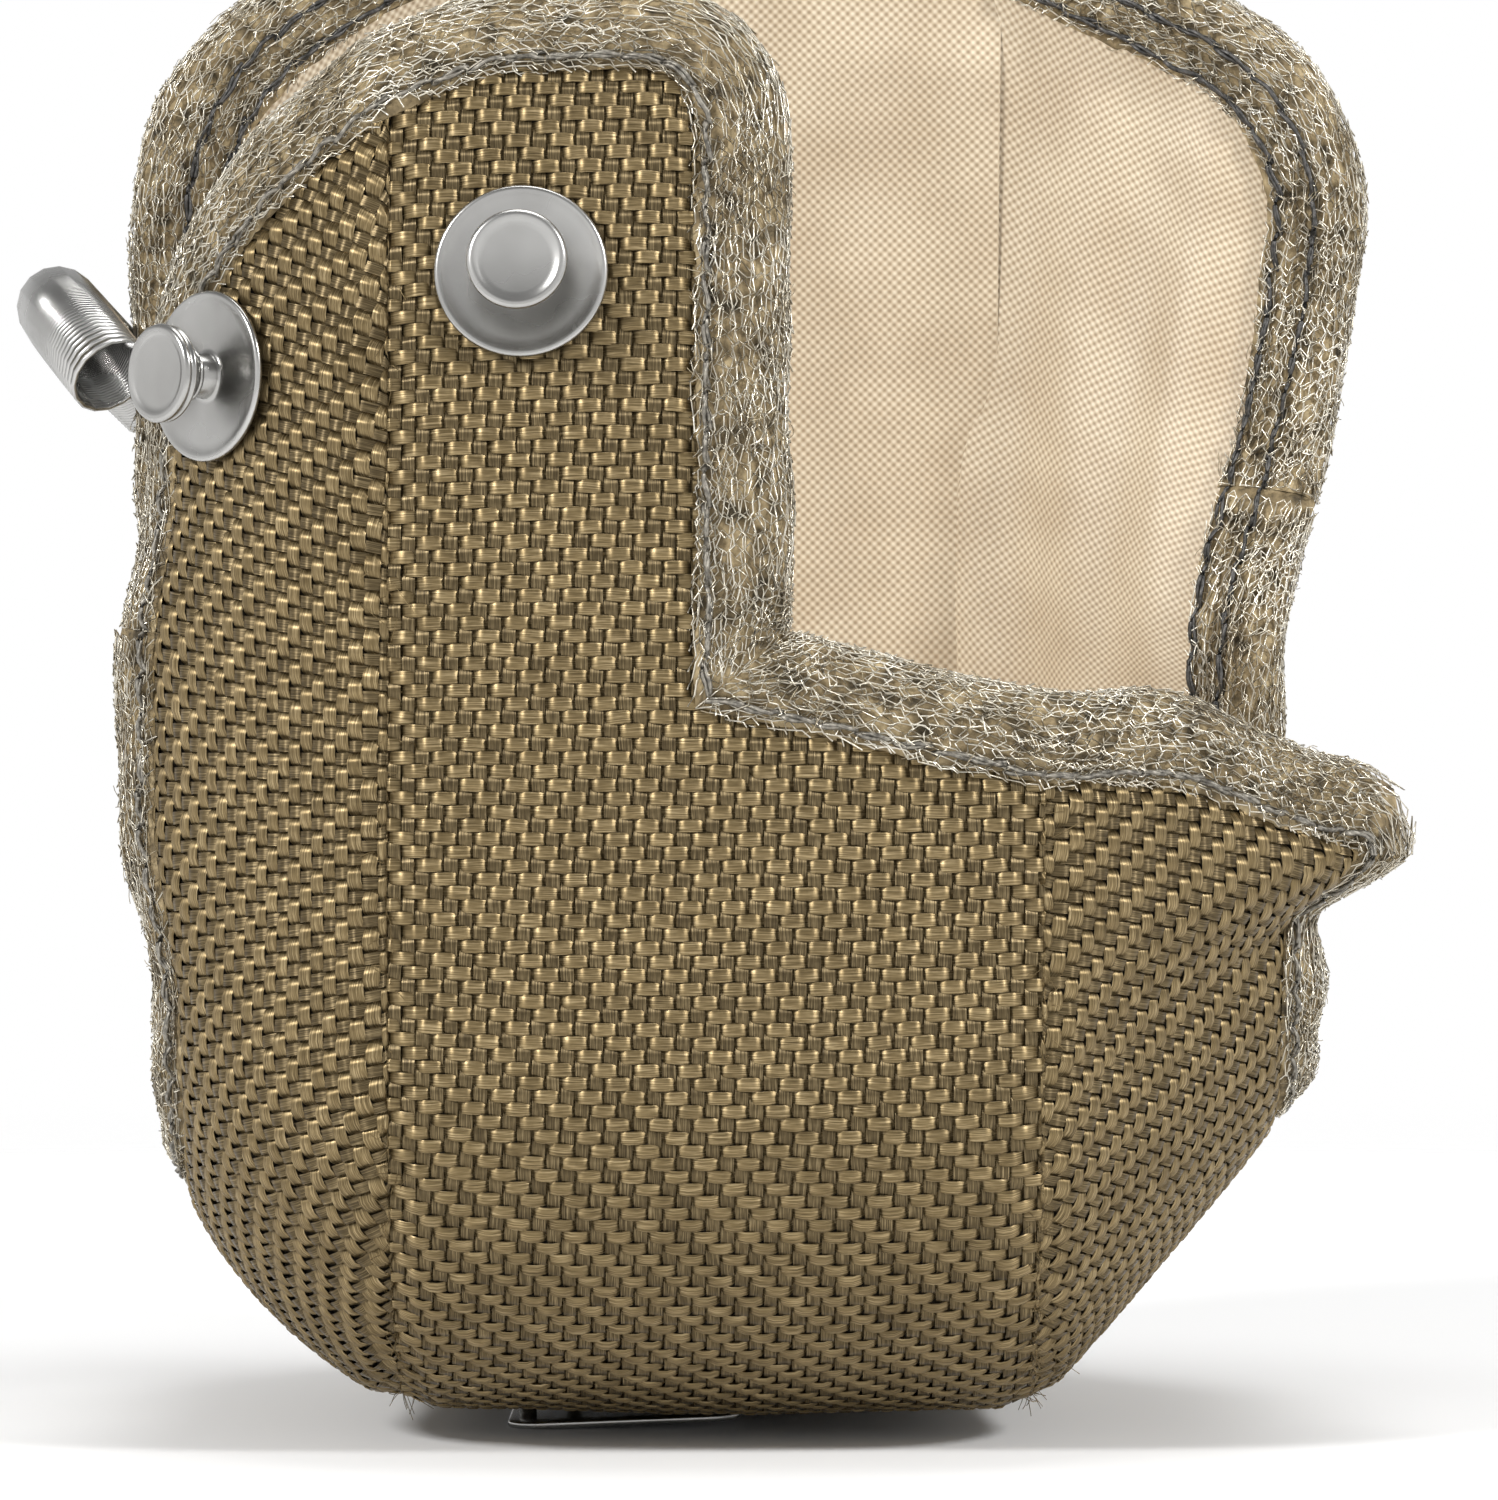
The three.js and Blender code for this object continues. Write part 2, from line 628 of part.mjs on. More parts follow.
// Cloth, insulation and lining of the three panels, trimmed to the edge and pierced for the capstans.
const [RIM_START] = edge.marks[0];
const [CUT_CORNER] = edge.marks[5];
const TIP_END = edge.marks[8][1];
const [REAR_RIGHT] = edge.marks[9];
const [REAR_LEFT] = edge.marks[14];
const cutters = [
  beyond(RIM_START, TIP_END, FRONT_END - RIM_TO_RIM),
  beyond(REAR_RIGHT, REAR_LEFT, REAR_END + RIM_TO_RIM),
  ...Object.values(capstans).map(shankHole),
  ...RIVET_PLACES.map(rivetSpace),
  hem(CUT_CORNER, REAR_RIGHT, 1.5 * GAP),
];
const insulationTop = COVER + LAYER_GAP;
const liningTop = insulationTop + INSULATION + LAYER_GAP;

// A layer cut by all of them. Crumbs that a cut leaves at the edge are dropped.
function trim(solid) {
  const rest = cutters.reduce((left, cutter) => left.subtract(cutter), solid);
  const bodies = rest.decompose().sort((a, b) => b.volume() - a.volume());
  return geometryOf(bodies[0]);
}

for (const [name, panel] of Object.entries(panels)) {
  const insulation = layer(panel.backs, -insulationTop, -insulationTop - INSULATION);
  const lining = layer(panel.backs, -liningTop, -liningTop - LINING);
  add(`${name}_cover`, trim(twill(panel)), 'twill');
  add(`${name}_insulation`, trim(insulation), 'fibre');
  add(`${name}_lining`, trim(lining), 'lining');
}

add('left_rim_hem', geometryOf(hem(REAR_LEFT, RIM_START)), 'mesh');
add('front_top_hem', geometryOf(hem(RIM_START, CUT_CORNER)), 'mesh');
add('right_rim_hem', geometryOf(hem(CUT_CORNER, REAR_RIGHT)), 'mesh');
add('rear_top_hem', geometryOf(hem(REAR_RIGHT, REAR_LEFT)), 'mesh');

for (const [name, place] of Object.entries(capstans)) {
  const matrix = onFace(place);
  add(`capstan_${name}_base`, capstanBase(), 'steel').applyMatrix4(matrix);
  add(`capstan_${name}_head`, capstanHead(), 'steel').applyMatrix4(matrix);
  add(`capstan_${name}_backing`, capstanBacking(), 'steel').applyMatrix4(matrix);
}

// The closing spring: a coil that bulges round the neck, with a hook round the post at either end.
function springPath() {
  const hookRadius = POST_RADIUS + SPRING_WIRE / 2 + 3 * GAP;
  const coilRadius = SPRING_RADIUS - SPRING_WIRE / 2;
  const waist = GAP + (BASE_THICKNESS + BASE_DISH + POST_HEIGHT) / 2 + WALE_RIDGE;
  const end = (place, way, stand) => {
    const up = normal(...place);
    const post = face(...place).addScaledVector(up, waist);
    const back = new THREE.Vector3(0, way, 0).projectOnPlane(up).normalize();
    const side = up.clone().cross(back).multiplyScalar(way);
    const round = (angle) => post.clone()
      .addScaledVector(back, hookRadius * Math.cos(angle))
      .addScaledVector(side, hookRadius * Math.sin(angle));
    const bend = [60, 100, 140, 180, 220, 255].map((angle) => round(angle * RAD));
    const leg = round(-Math.PI / 2).addScaledVector(back, SPRING_SETBACK * 0.4);
    const mouth = post.clone().addScaledVector(back, SPRING_SETBACK).addScaledVector(up, stand);
    const bulge = mouth.clone().addScaledVector(back, SPRING_REACH).add(new THREE.Vector3(0, 0, SPRING_RISE));
    return { up, mouth, bulge, hook: [...bend, leg] };
  };
  const near = end(capstans.b, 1, SPRING_FRONT_STAND);
  const far = end(capstans.d, -1, SPRING_REAR_STAND);
  const axis = new THREE.CubicBezierCurve3(near.mouth, near.bulge, far.bulge, far.mouth);
  const turns = Math.round(axis.getLength() / SPRING_PITCH);
  const coil = [];
  const perTurn = 7;
  for (let i = 0; i <= turns * perTurn; i += 1) {
    const t = i / (turns * perTurn);
    const along = axis.getTangentAt(t);
    const radial = near.up.clone().lerp(far.up, t).projectOnPlane(along).normalize();
    const across = along.clone().cross(radial);
    const angle = 2 * Math.PI * (0.25 + i / perTurn);
    coil.push(axis.getPointAt(t)
      .addScaledVector(radial, coilRadius * Math.cos(angle))
      .addScaledVector(across, coilRadius * Math.sin(angle)));
  }
  const path = new THREE.CatmullRomCurve3([...near.hook, ...coil, ...far.hook.reverse()]);
  path.arcLengthDivisions = 6000;
  return { path, count: turns * perTurn + 2 * far.hook.length };
}

const spring = springPath();
const wire = new THREE.Shape().absarc(0, 0, SPRING_WIRE / 2, 0, 2 * Math.PI);
add('closing_spring', new THREE.ExtrudeGeometry(wire, {
  steps: spring.count,
  curveSegments: 2,
  bevelEnabled: false,
  extrudePath: spring.path,
}), 'steel');

function plateShape() {
  const half = PLATE_DEPTH / 2;
  const r = PLATE_CORNER;
  const shape = new THREE.Shape()
    .moveTo(r, -half)
    .lineTo(PLATE_LENGTH - r, -half)
    .absarc(PLATE_LENGTH - r, r - half, r, -Math.PI / 2, 0)
    .lineTo(PLATE_LENGTH, half - r)
    .absarc(PLATE_LENGTH - r, half - r, r, 0, Math.PI / 2)
    .lineTo(r, half)
    .absarc(r, half - r, r, Math.PI / 2, Math.PI)
    .lineTo(0, r - half)
    .absarc(r, r - half, r, Math.PI, 1.5 * Math.PI);
  for (const [x, y] of RIVET_PLACES) {
    const radius = RIVET_RADIUS + RIVET_CLEARANCE;
    shape.holes.push(new THREE.Path().absarc(x - PLATE_LEFT, y, radius, 0, 2 * Math.PI));
  }
  return shape;
}

add('belly_plate', new THREE.ExtrudeGeometry(plateShape(), {
  depth: PLATE_THICKNESS,
  curveSegments: 4,
  bevelEnabled: false,
}), 'steel').applyMatrix4(platePlace);
RIVET_PLACES.forEach((place, i) => {
  add(`plate_rivet_${i + 1}`, rivet(place), 'steel').position.set(...place, 0);
});

const box = new THREE.Box3().setFromObject(blanket, true);
const middle = box.getCenter(new THREE.Vector3());
blanket.position.set(-middle.x, -middle.y, -box.min.z);

export default blanket;
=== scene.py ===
# The looks of a heat blanket for a turbine housing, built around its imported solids: twill woven from
# single floats, hems of knitted wire over fibre, stitches, and bright steel hardware.
import math

import bmesh
import bpy
import numpy as np
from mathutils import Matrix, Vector


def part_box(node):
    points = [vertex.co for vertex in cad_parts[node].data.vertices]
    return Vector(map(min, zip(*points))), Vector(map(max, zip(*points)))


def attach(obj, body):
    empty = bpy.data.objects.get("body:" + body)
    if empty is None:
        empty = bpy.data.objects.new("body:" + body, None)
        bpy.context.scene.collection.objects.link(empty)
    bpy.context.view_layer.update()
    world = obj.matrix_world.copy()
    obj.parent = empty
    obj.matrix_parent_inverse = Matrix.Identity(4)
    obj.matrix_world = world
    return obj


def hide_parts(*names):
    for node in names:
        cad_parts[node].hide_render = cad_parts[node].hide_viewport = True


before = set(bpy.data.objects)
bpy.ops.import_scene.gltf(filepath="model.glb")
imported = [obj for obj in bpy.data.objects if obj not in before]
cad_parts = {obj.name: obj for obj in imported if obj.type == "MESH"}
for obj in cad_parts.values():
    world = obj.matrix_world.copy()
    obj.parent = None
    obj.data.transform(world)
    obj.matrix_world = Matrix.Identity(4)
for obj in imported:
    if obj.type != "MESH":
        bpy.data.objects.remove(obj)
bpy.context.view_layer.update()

random = np.random.default_rng(11)

# Driving sizes of the saddle in millimetres, the same as in the part's source.
MM = 0.001
HALF_DEPTH = 68
BELLY_HEIGHT = 2.75
CORNER_RADIUS = 42
LEG_BEND_HEIGHT = 94
LEG_BEND_RADIUS = 300
AXIS_HEIGHT = 78
STRIP_LEFT = 39.7
STRIP_RIGHT = 32.5
STRIP_CROWN = 1.2
LEFT_WIDTH = 38
RIGHT_WIDTH = 46
LEFT_SEAM_ANGLE = 25
LEFT_NECK_ANGLE = 65
LEFT_BELLY_ANGLE = 80
LEFT_FRONT_ANGLE = 78
LEFT_REAR_ANGLE = 48
RIGHT_SEAM_ANGLE = 30
RIGHT_NECK_ANGLE = 42
RIGHT_BELLY_EXTRA = 15.5
LEFT_BELLY_TURN = (34, 67)
LEFT_FRONT_TURN = (96, 126)
LEFT_REAR_TURN = (90, 130)
RIGHT_FRONT_TURN = (40, 62)
RIGHT_REAR_TURN = (105, 180)
FRONT_TOP = 154.5
FRONT_SHOULDER = 150.5
FRONT_RIM_TOP = 141
CUTOUT_EDGE = 5
CUTOUT_BOTTOM = 84
CUTOUT_SEAM = 75.4
CUTOUT_TIP = 62
REAR_LEFT_TOP = 178
REAR_SHOULDER = 181
REAR_RIGHT_TOP = 182
LEFT_SPLIT_FRONT = 100
LEFT_SPLIT_REAR = 110
RIGHT_SPLIT_REAR = 130
COVER = 1.8
INSULATION = 5.4
LINING = 0.8
LAYER_GAP = 0.5
GAP = 0.3
WALE_RIDGE = 0.55
HEM_WIDTH = 9.5
HEM_STEP = 15
STRIP_CAPSTAN_X = -24.8
STRIP_CAPSTAN_HEIGHT = 131
SIDE_CAPSTAN_WIDTH = 25.6
SIDE_CAPSTAN_HEIGHT = 131
PLATE_LEFT = -28
PLATE_LENGTH = 27
PLATE_DEPTH = 46
PLATE_THICKNESS = 0.8
PLATE_CORNER = 4
RIVET_PLACES = ((-25.7, -18), (-21.3, 15))
SPRING_RADIUS = 4.9
SPRING_REACH = 16
SPRING_RISE = 13
SPRING_SETBACK = 11.4
SPRING_FRONT_STAND = 1.4
SPRING_REAR_STAND = 4.3

# Yarn, wire and thread.
YARN_ACROSS = 1.58
YARN_ALONG = 1.48
TWILL_BASE = 0.1
LINING_YARN = 0.62
BACKING_TOP = 0.75
SPRING_WIRE = 0.68
TURN_SPACING = 1.03
STEPS_PER_TURN = 16
KNIT_WIRE = 0.1
KNIT_COURSE = 1.9
KNIT_WALE = 2.1
STITCH_LENGTH = 4.2
INNER_STITCH_LENGTH = 5
STITCH_RADIUS = 0.26
HAIR_RADIUS = 0.05
FUZZ_PER_MM = 2.5
SEAM_HAIRS = 900
SEAM_HAIR_LENGTH = 2.6
SEAM_HAIR_RADIUS = 0.045

# Camera: the photograph is 1498 x 1500 pixels, and its middle column looks at X = 0 of the source.
CAMERA_DISTANCE = 700
CAMERA_HEIGHT = 78.7
CAMERA_LENS = 154.56

STRIP_MIDDLE = (STRIP_RIGHT - STRIP_LEFT) / 2
STRIP_HALF = (STRIP_LEFT + STRIP_RIGHT) / 2
BELLY_HALF = HALF_DEPTH - CORNER_RADIUS
CORNER_LENGTH = CORNER_RADIUS * math.pi / 2
LEG_STRAIGHT = LEG_BEND_HEIGHT - BELLY_HEIGHT - CORNER_RADIUS
LEFT_RIM = -STRIP_LEFT - LEFT_WIDTH
RIGHT_RIM = STRIP_RIGHT + RIGHT_WIDTH
LAYERS_DEPTH = COVER + INSULATION + LINING + 2 * LAYER_GAP
PLATE_TILT = math.asin((BELLY_HEIGHT - WALE_RIDGE - GAP - PLATE_THICKNESS) / PLATE_LENGTH)
PLATE_EDGE = PLATE_LEFT - PLATE_THICKNESS * math.sin(PLATE_TILT)
SHIFT = np.array([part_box("belly_plate")[0].x / MM - PLATE_EDGE, 0, 0])


def smooth(low, high, value):
    t = np.clip((value - low) / (high - low), 0, 1)
    return t * t * (3 - 2 * t)


def outline(s):
    """Side outline of the saddle by its length s from the middle of the belly."""
    side = np.where(s < 0, -1, 1)
    run = np.abs(s) - BELLY_HALF
    turn = np.clip(run / CORNER_RADIUS, 0, math.pi / 2)
    rise = np.clip(run - CORNER_LENGTH, 0, LEG_STRAIGHT)
    lean = np.maximum(run - CORNER_LENGTH - LEG_STRAIGHT, 0) / LEG_BEND_RADIUS
    flat = np.minimum(np.abs(s), BELLY_HALF)
    y = side * (flat + CORNER_RADIUS * np.sin(turn) - LEG_BEND_RADIUS * (1 - np.cos(lean)))
    z = BELLY_HEIGHT + CORNER_RADIUS * (1 - np.cos(turn)) + rise + LEG_BEND_RADIUS * np.sin(lean)
    return y, z


def length_at(height):
    """Length along the outline at which a leg reaches a height."""
    rise = min(height, LEG_BEND_HEIGHT) - BELLY_HEIGHT - CORNER_RADIUS
    lean = math.asin(max(height - LEG_BEND_HEIGHT, 0) / LEG_BEND_RADIUS)
    return BELLY_HALF + CORNER_LENGTH + rise + lean * LEG_BEND_RADIUS


def front(height):
    return -length_at(height)


def rear(height):
    return length_at(height)


def panel_angles(left, s, z):
    """Angles of a side panel at its seam and at its hem."""
    open_side = np.where(s < 0, smooth(*RIGHT_FRONT_TURN, z), smooth(*RIGHT_REAR_TURN, z))
    extra = RIGHT_BELLY_EXTRA * (1 - open_side)
    belly = 1 - smooth(*LEFT_BELLY_TURN, z)
    neck = LEFT_NECK_ANGLE + (LEFT_BELLY_ANGLE - LEFT_NECK_ANGLE) * belly
    front_end = neck + (LEFT_FRONT_ANGLE - neck) * smooth(*LEFT_FRONT_TURN, z)
    rear_end = neck + (LEFT_REAR_ANGLE - neck) * smooth(*LEFT_REAR_TURN, z)
    left_end = np.where(s < 0, front_end, rear_end)
    start = np.where(left, LEFT_SEAM_ANGLE, RIGHT_SEAM_ANGLE + extra)
    end = np.where(left, left_end, RIGHT_NECK_ANGLE + extra)
    return np.radians(start), np.radians(end)


def face(s, u):
    """Outer face of the blanket, u across the cloth from the left hem to the right hem."""
    s, u = np.broadcast_arrays(np.asarray(s, float), np.asarray(u, float))
    y, z = outline(s)
    left = u < -STRIP_LEFT
    side = left | (u > STRIP_RIGHT)
    seam = np.where(left, -STRIP_LEFT, STRIP_RIGHT)
    width = np.where(left, LEFT_WIDTH, RIGHT_WIDTH) + HEM_WIDTH
    start, end = panel_angles(left, s, z)
    radius = width / (end - start)
    angle = start + np.abs(u - seam) / radius
    out = np.where(left, -1, 1) * radius * (np.sin(angle) - np.sin(start))
    x = np.where(side, seam + out, u)
    crown = STRIP_CROWN * ((u - STRIP_MIDDLE) / STRIP_HALF) ** 2
    depth = np.where(side, STRIP_CROWN + radius * (np.cos(start) - np.cos(angle)), crown)
    reach = np.hypot(y, AXIS_HEIGHT - z)
    return np.stack([x, y - depth * y / reach, z + depth * (AXIS_HEIGHT - z) / reach], -1)


def unit(vectors):
    return vectors / np.linalg.norm(vectors, axis=-1, keepdims=True)


def normal(s, u, step=0.5, own=True):
    """Outward normal of the face. With own, each panel keeps its own normal up to the seam."""
    s, u = np.broadcast_arrays(np.asarray(s, float), np.asarray(u, float))
    low, high = u - step, u + step
    if own:
        low = np.where((u >= -STRIP_LEFT) & (low < -STRIP_LEFT), -STRIP_LEFT, low)
        high = np.where((u < -STRIP_LEFT) & (high > -STRIP_LEFT), -STRIP_LEFT - 1e-4, high)
        high = np.where((u <= STRIP_RIGHT) & (high > STRIP_RIGHT), STRIP_RIGHT, high)
        low = np.where((u > STRIP_RIGHT) & (low < STRIP_RIGHT), STRIP_RIGHT + 1e-4, low)
    along = face(s + step, u) - face(s - step, u)
    across = face(s, high) - face(s, low)
    return unit(np.cross(along, across))


# The edge of the cloth, a closed ring of corners (u, s, radius of the curve), as in the source.
# A curve takes at most LONGEST_CURVE of each straight beside it.
LONGEST_CURVE = 0.45
RING = [
    (LEFT_RIM, front(LEFT_SPLIT_FRONT), 0),
    (LEFT_RIM, front(FRONT_RIM_TOP), 22),
    (-STRIP_LEFT, front(FRONT_SHOULDER), 40),
    (-STRIP_LEFT * 0.7, front(FRONT_TOP), 20),
    (-CUTOUT_EDGE, front(FRONT_TOP), 9),
    (-CUTOUT_EDGE, front(CUTOUT_BOTTOM), 0),
    (STRIP_RIGHT, front(CUTOUT_SEAM), 0),
    (STRIP_RIGHT + RIGHT_WIDTH * 0.4, front(CUTOUT_SEAM), 20),
    (RIGHT_RIM, front(CUTOUT_TIP), 3),
    (RIGHT_RIM, rear(RIGHT_SPLIT_REAR), 0),
    (RIGHT_RIM, rear(REAR_RIGHT_TOP), 14),
    (STRIP_RIGHT, rear(REAR_RIGHT_TOP - 2), 0),
    (-STRIP_LEFT, rear(REAR_SHOULDER), 40),
    (LEFT_RIM, rear(REAR_LEFT_TOP), 18),
    (LEFT_RIM, rear(LEFT_SPLIT_REAR), 0),
]


def ring_points():
    """Points of the ring, with curves at its corners, and the number of each corner's first point."""
    corners = [np.array(corner[:2], float) for corner in RING]
    points, marks = [], []
    for i, (corner, (_, _, radius)) in enumerate(zip(corners, RING)):
        before = corners[i - 1] - corner
        after = corners[(i + 1) % len(RING)] - corner
        marks.append(len(points))
        if radius:
            cosine = before @ after / np.linalg.norm(before) / np.linalg.norm(after)
            half = math.acos(cosine) / 2
            longest = LONGEST_CURVE * min(np.linalg.norm(before), np.linalg.norm(after))
            reach = min(radius / math.tan(half), longest)
            a = corner + unit(before) * reach
            b = corner + unit(after) * reach
            count = max(4, round((math.pi / 2 - half) * 8))
            for t in np.linspace(0, 1, count + 1):
                points.append(a * (1 - t) ** 2 + 2 * corner * t * (1 - t) + b * t ** 2)
        else:
            points.append(corner)
        last = points[-1]
        goal = corners[(i + 1) % len(RING)]
        span = np.linalg.norm(goal - last)
        next_radius = RING[(i + 1) % len(RING)][2]
        stop = span - (min(next_radius, LONGEST_CURVE * span) if next_radius else 0)
        count = max(1, math.ceil(stop / HEM_STEP))
        for k in range(1, count):
            points.append(last + (goal - last) * (k / count * stop / span))
    return np.array(points), marks


EDGE, EDGE_MARKS = ring_points()


def edge_distance(s, u):
    """Distance from points of the cloth to its edge, positive inside."""
    flat = np.stack([np.ravel(u), np.ravel(s)], -1)
    best = np.full(len(flat), 1e9)
    crossings = np.zeros(len(flat), int)
    for a, b in zip(EDGE, np.roll(EDGE, -1, axis=0)):
        along = b - a
        t = np.clip((flat - a) @ along / (along @ along), 0, 1)
        best = np.minimum(best, np.linalg.norm(flat - a - t[:, None] * along, axis=1))
        if a[1] != b[1]:
            between = (a[1] > flat[:, 1]) != (b[1] > flat[:, 1])
            x = a[0] + (flat[:, 1] - a[1]) * along[0] / along[1]
            crossings += between & (flat[:, 0] < x)
    return np.where(crossings % 2, best, -best).reshape(np.shape(s))


def relief(s, u):
    """How far the cloth stands off the smooth face: pulled in at seams and hems, a little uneven."""
    seam = np.minimum(np.abs(u + STRIP_LEFT), np.abs(u - STRIP_RIGHT))
    pinch = -1.3 * (1 - smooth(0, 4.5, seam))
    tuck = -1.2 * (1 - smooth(-0.5, 4, edge_distance(s, u)))
    waves = 0.22 * np.sin(s / 9.3 + u / 21) * np.sin(u / 8.1 - s / 37)
    puckers = 0.16 * np.sin(s * 1.5) * (1 - smooth(1, 8, seam))
    return np.minimum(pinch, tuck) + waves + puckers


def lift(s, u, height):
    """The point at a height over the face."""
    return face(s, u) + normal(s, u) * np.asarray(height)[..., None]


# Meshes.
def mesh_object(name, points, faces, material, uv=None):
    """An object on the one body, from points in millimetres of the source and faces of one size."""
    points = np.asarray(points, float).reshape(-1, 3)
    faces = np.asarray(faces, int)
    sides = faces.shape[1]
    mesh = bpy.data.meshes.new(name)
    mesh.vertices.add(len(points))
    mesh.vertices.foreach_set("co", ((points + SHIFT) * MM).ravel())
    mesh.loops.add(faces.size)
    mesh.loops.foreach_set("vertex_index", faces.ravel())
    mesh.polygons.add(len(faces))
    mesh.polygons.foreach_set("loop_start", np.arange(len(faces)) * sides)
    mesh.polygons.foreach_set("loop_total", np.full(len(faces), sides))
    if uv is not None:
        layer = mesh.uv_layers.new(name="cloth")
        layer.data.foreach_set("uv", np.asarray(uv, float).reshape(-1, 2)[faces.ravel()].ravel())
    mesh.update(calc_edges=True)
    mesh.validate()
    mesh.polygons.foreach_set("use_smooth", np.full(len(mesh.polygons), True))
    mesh.materials.append(material)
    obj = bpy.data.objects.new(name, mesh)
    bpy.context.scene.collection.objects.link(obj)
    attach(obj, "root")
    return obj


def grid_faces(rows, columns, wrap=False):
    """Quads of a grid whose points are numbered row by row. With wrap, each row closes on itself."""
    i, j = np.meshgrid(np.arange(rows - 1), np.arange(columns if wrap else columns - 1), indexing="ij")
    i, j = i.ravel(), j.ravel()
    here, below, right = i * columns, (i + 1) * columns, (j + 1) % columns
    return np.stack([here + j, below + j, below + right, here + right], 1)


def tubes(paths, radius, sides):
    """Points and quads of open tubes along many paths of the same number of points."""
    paths = np.asarray(paths, float)
    along = unit(np.gradient(paths, axis=1))
    helper = np.where(np.abs(along[..., 2:]) < 0.9, [0, 0, 1.0], [1.0, 0, 0])
    side = unit(np.cross(along, helper))
    up = np.cross(along, side)
    turn = np.arange(sides) * 2 * math.pi / sides
    radius = np.broadcast_to(np.asarray(radius, float), paths.shape[:2])[..., None, None]
    ring = side[:, :, None] * np.cos(turn)[:, None] + up[:, :, None] * np.sin(turn)[:, None]
    points = paths[:, :, None] + ring * radius
    count, length = paths.shape[:2]
    quads = grid_faces(length, sides, wrap=True)
    offset = np.arange(count)[:, None, None] * length * sides
    return points.reshape(-1, 3), (quads[None] + offset).reshape(-1, 4)


def steady_tube(path, radius, sides):
    """Points and quads of one open tube whose section doesn't twist along a long path."""
    path = np.asarray(path, float)
    along = unit(np.gradient(path, axis=0))
    side = unit(np.cross(along[0], [0, 0, 1.0]))
    sections = []
    turn = np.arange(sides) * 2 * math.pi / sides
    for point, way in zip(path, along):
        side = unit(side - way * (side @ way))
        up = np.cross(way, side)
        sections.append(point + radius * (np.outer(np.cos(turn), side) + np.outer(np.sin(turn), up)))
    return np.concatenate(sections), grid_faces(len(path), sides, wrap=True)


def lathe(name, profile, place, material, segments=72):
    """A turned piece from (radius, height) pairs, standing on the face at a frame (point, up)."""
    point, up = place
    side = unit(np.cross(up, [1.0, 0, 0]))
    other = np.cross(up, side)
    turn = np.arange(segments) * 2 * math.pi / segments
    ring = np.outer(np.cos(turn), side) + np.outer(np.sin(turn), other)
    points = [point + up * height + ring * max(radius, 1e-3) for radius, height in profile]
    quads = grid_faces(len(profile), segments, wrap=True)
    return mesh_object(name, np.concatenate(points), quads, material)


# Materials.
def new_material(name, roughness, metallic=0.0, **sockets):
    material = bpy.data.materials.new(name)
    material.use_nodes = True
    shader = material.node_tree.nodes["Principled BSDF"]
    shader.inputs["Roughness"].default_value = roughness
    shader.inputs["Metallic"].default_value = metallic
    for socket, value in sockets.items():
        shader.inputs[socket.replace("_", " ")].default_value = value
    return material, material.node_tree, shader


def noise(tree, vector, scale, detail=3, stretch=(1, 1, 1)):
    """A noise texture on a texture coordinate, stretched, and its factor."""
    coordinates = tree.nodes.new("ShaderNodeTexCoord")
    mapping = tree.nodes.new("ShaderNodeMapping")
    mapping.inputs["Scale"].default_value = stretch
    texture = tree.nodes.new("ShaderNodeTexNoise")
    texture.inputs["Scale"].default_value = scale
    texture.inputs["Detail"].default_value = detail
    tree.links.new(coordinates.outputs[vector], mapping.inputs["Vector"])
    tree.links.new(mapping.outputs["Vector"], texture.inputs["Vector"])
    return texture.outputs["Fac"]


def ramp(tree, factor, stops):
    """A colour ramp over (position, colour) stops."""
    node = tree.nodes.new("ShaderNodeValToRGB")
    while len(node.color_ramp.elements) < len(stops):
        node.color_ramp.elements.new(0.5)
    for element, (position, colour) in zip(node.color_ramp.elements, stops):
        element.position = position
        element.color = (*colour, 1)
    tree.links.new(factor, node.inputs["Fac"])
    return node.outputs["Color"]


def multiply(tree, a, b):
    node = tree.nodes.new("ShaderNodeMix")
    node.data_type = "RGBA"
    node.blend_type = "MULTIPLY"
    node.inputs["Factor"].default_value = 1
    tree.links.new(a, node.inputs["A"])
    tree.links.new(b, node.inputs["B"])
    return node.outputs["Result"]


def bump(tree, shader, height, strength, distance):
    node = tree.nodes.new("ShaderNodeBump")
    node.inputs["Strength"].default_value = strength
    node.inputs["Distance"].default_value = distance * MM
    tree.links.new(height, node.inputs["Height"])
    tree.links.new(node.outputs["Normal"], shader.inputs["Normal"])


def yarn_material(name, shades):
    """Flat shiny mineral yarn: fibres run along it, and each float has its own tone."""
    material, tree, shader = new_material(name, 0.42, 0.7, Anisotropic=0.9, Anisotropic_Rotation=0.25)
    fibres = noise(tree, "UV", 1, 2, (0.3, 8, 1))
    tones = noise(tree, "UV", 0.11, 1)
    fibre_colour = ramp(tree, fibres, list(zip((0.25, 0.5, 0.75), shades)))
    tone_colour = ramp(tree, tones, [(0.3, (0.68, 0.67, 0.65)), (0.7, (1, 1, 1))])
    tree.links.new(multiply(tree, fibre_colour, tone_colour), shader.inputs["Base Color"])
    tangent = tree.nodes.new("ShaderNodeTangent")
    tangent.direction_type = "UV_MAP"
    tree.links.new(tangent.outputs["Tangent"], shader.inputs["Tangent"])
    bump(tree, shader, fibres, 0.35, 0.05)
    return material


# The cloth under the floats, coloured near black as painted shade for the gaps between the floats.
def shaded_ground_material():
    material, tree, shader = new_material("ground_cloth_painted_shade", 0.8)
    grain = noise(tree, "Object", 900)
    colour = ramp(tree, grain, [(0.3, (0.02, 0.015, 0.008)), (0.7, (0.06, 0.045, 0.024))])
    tree.links.new(colour, shader.inputs["Base Color"])
    return material


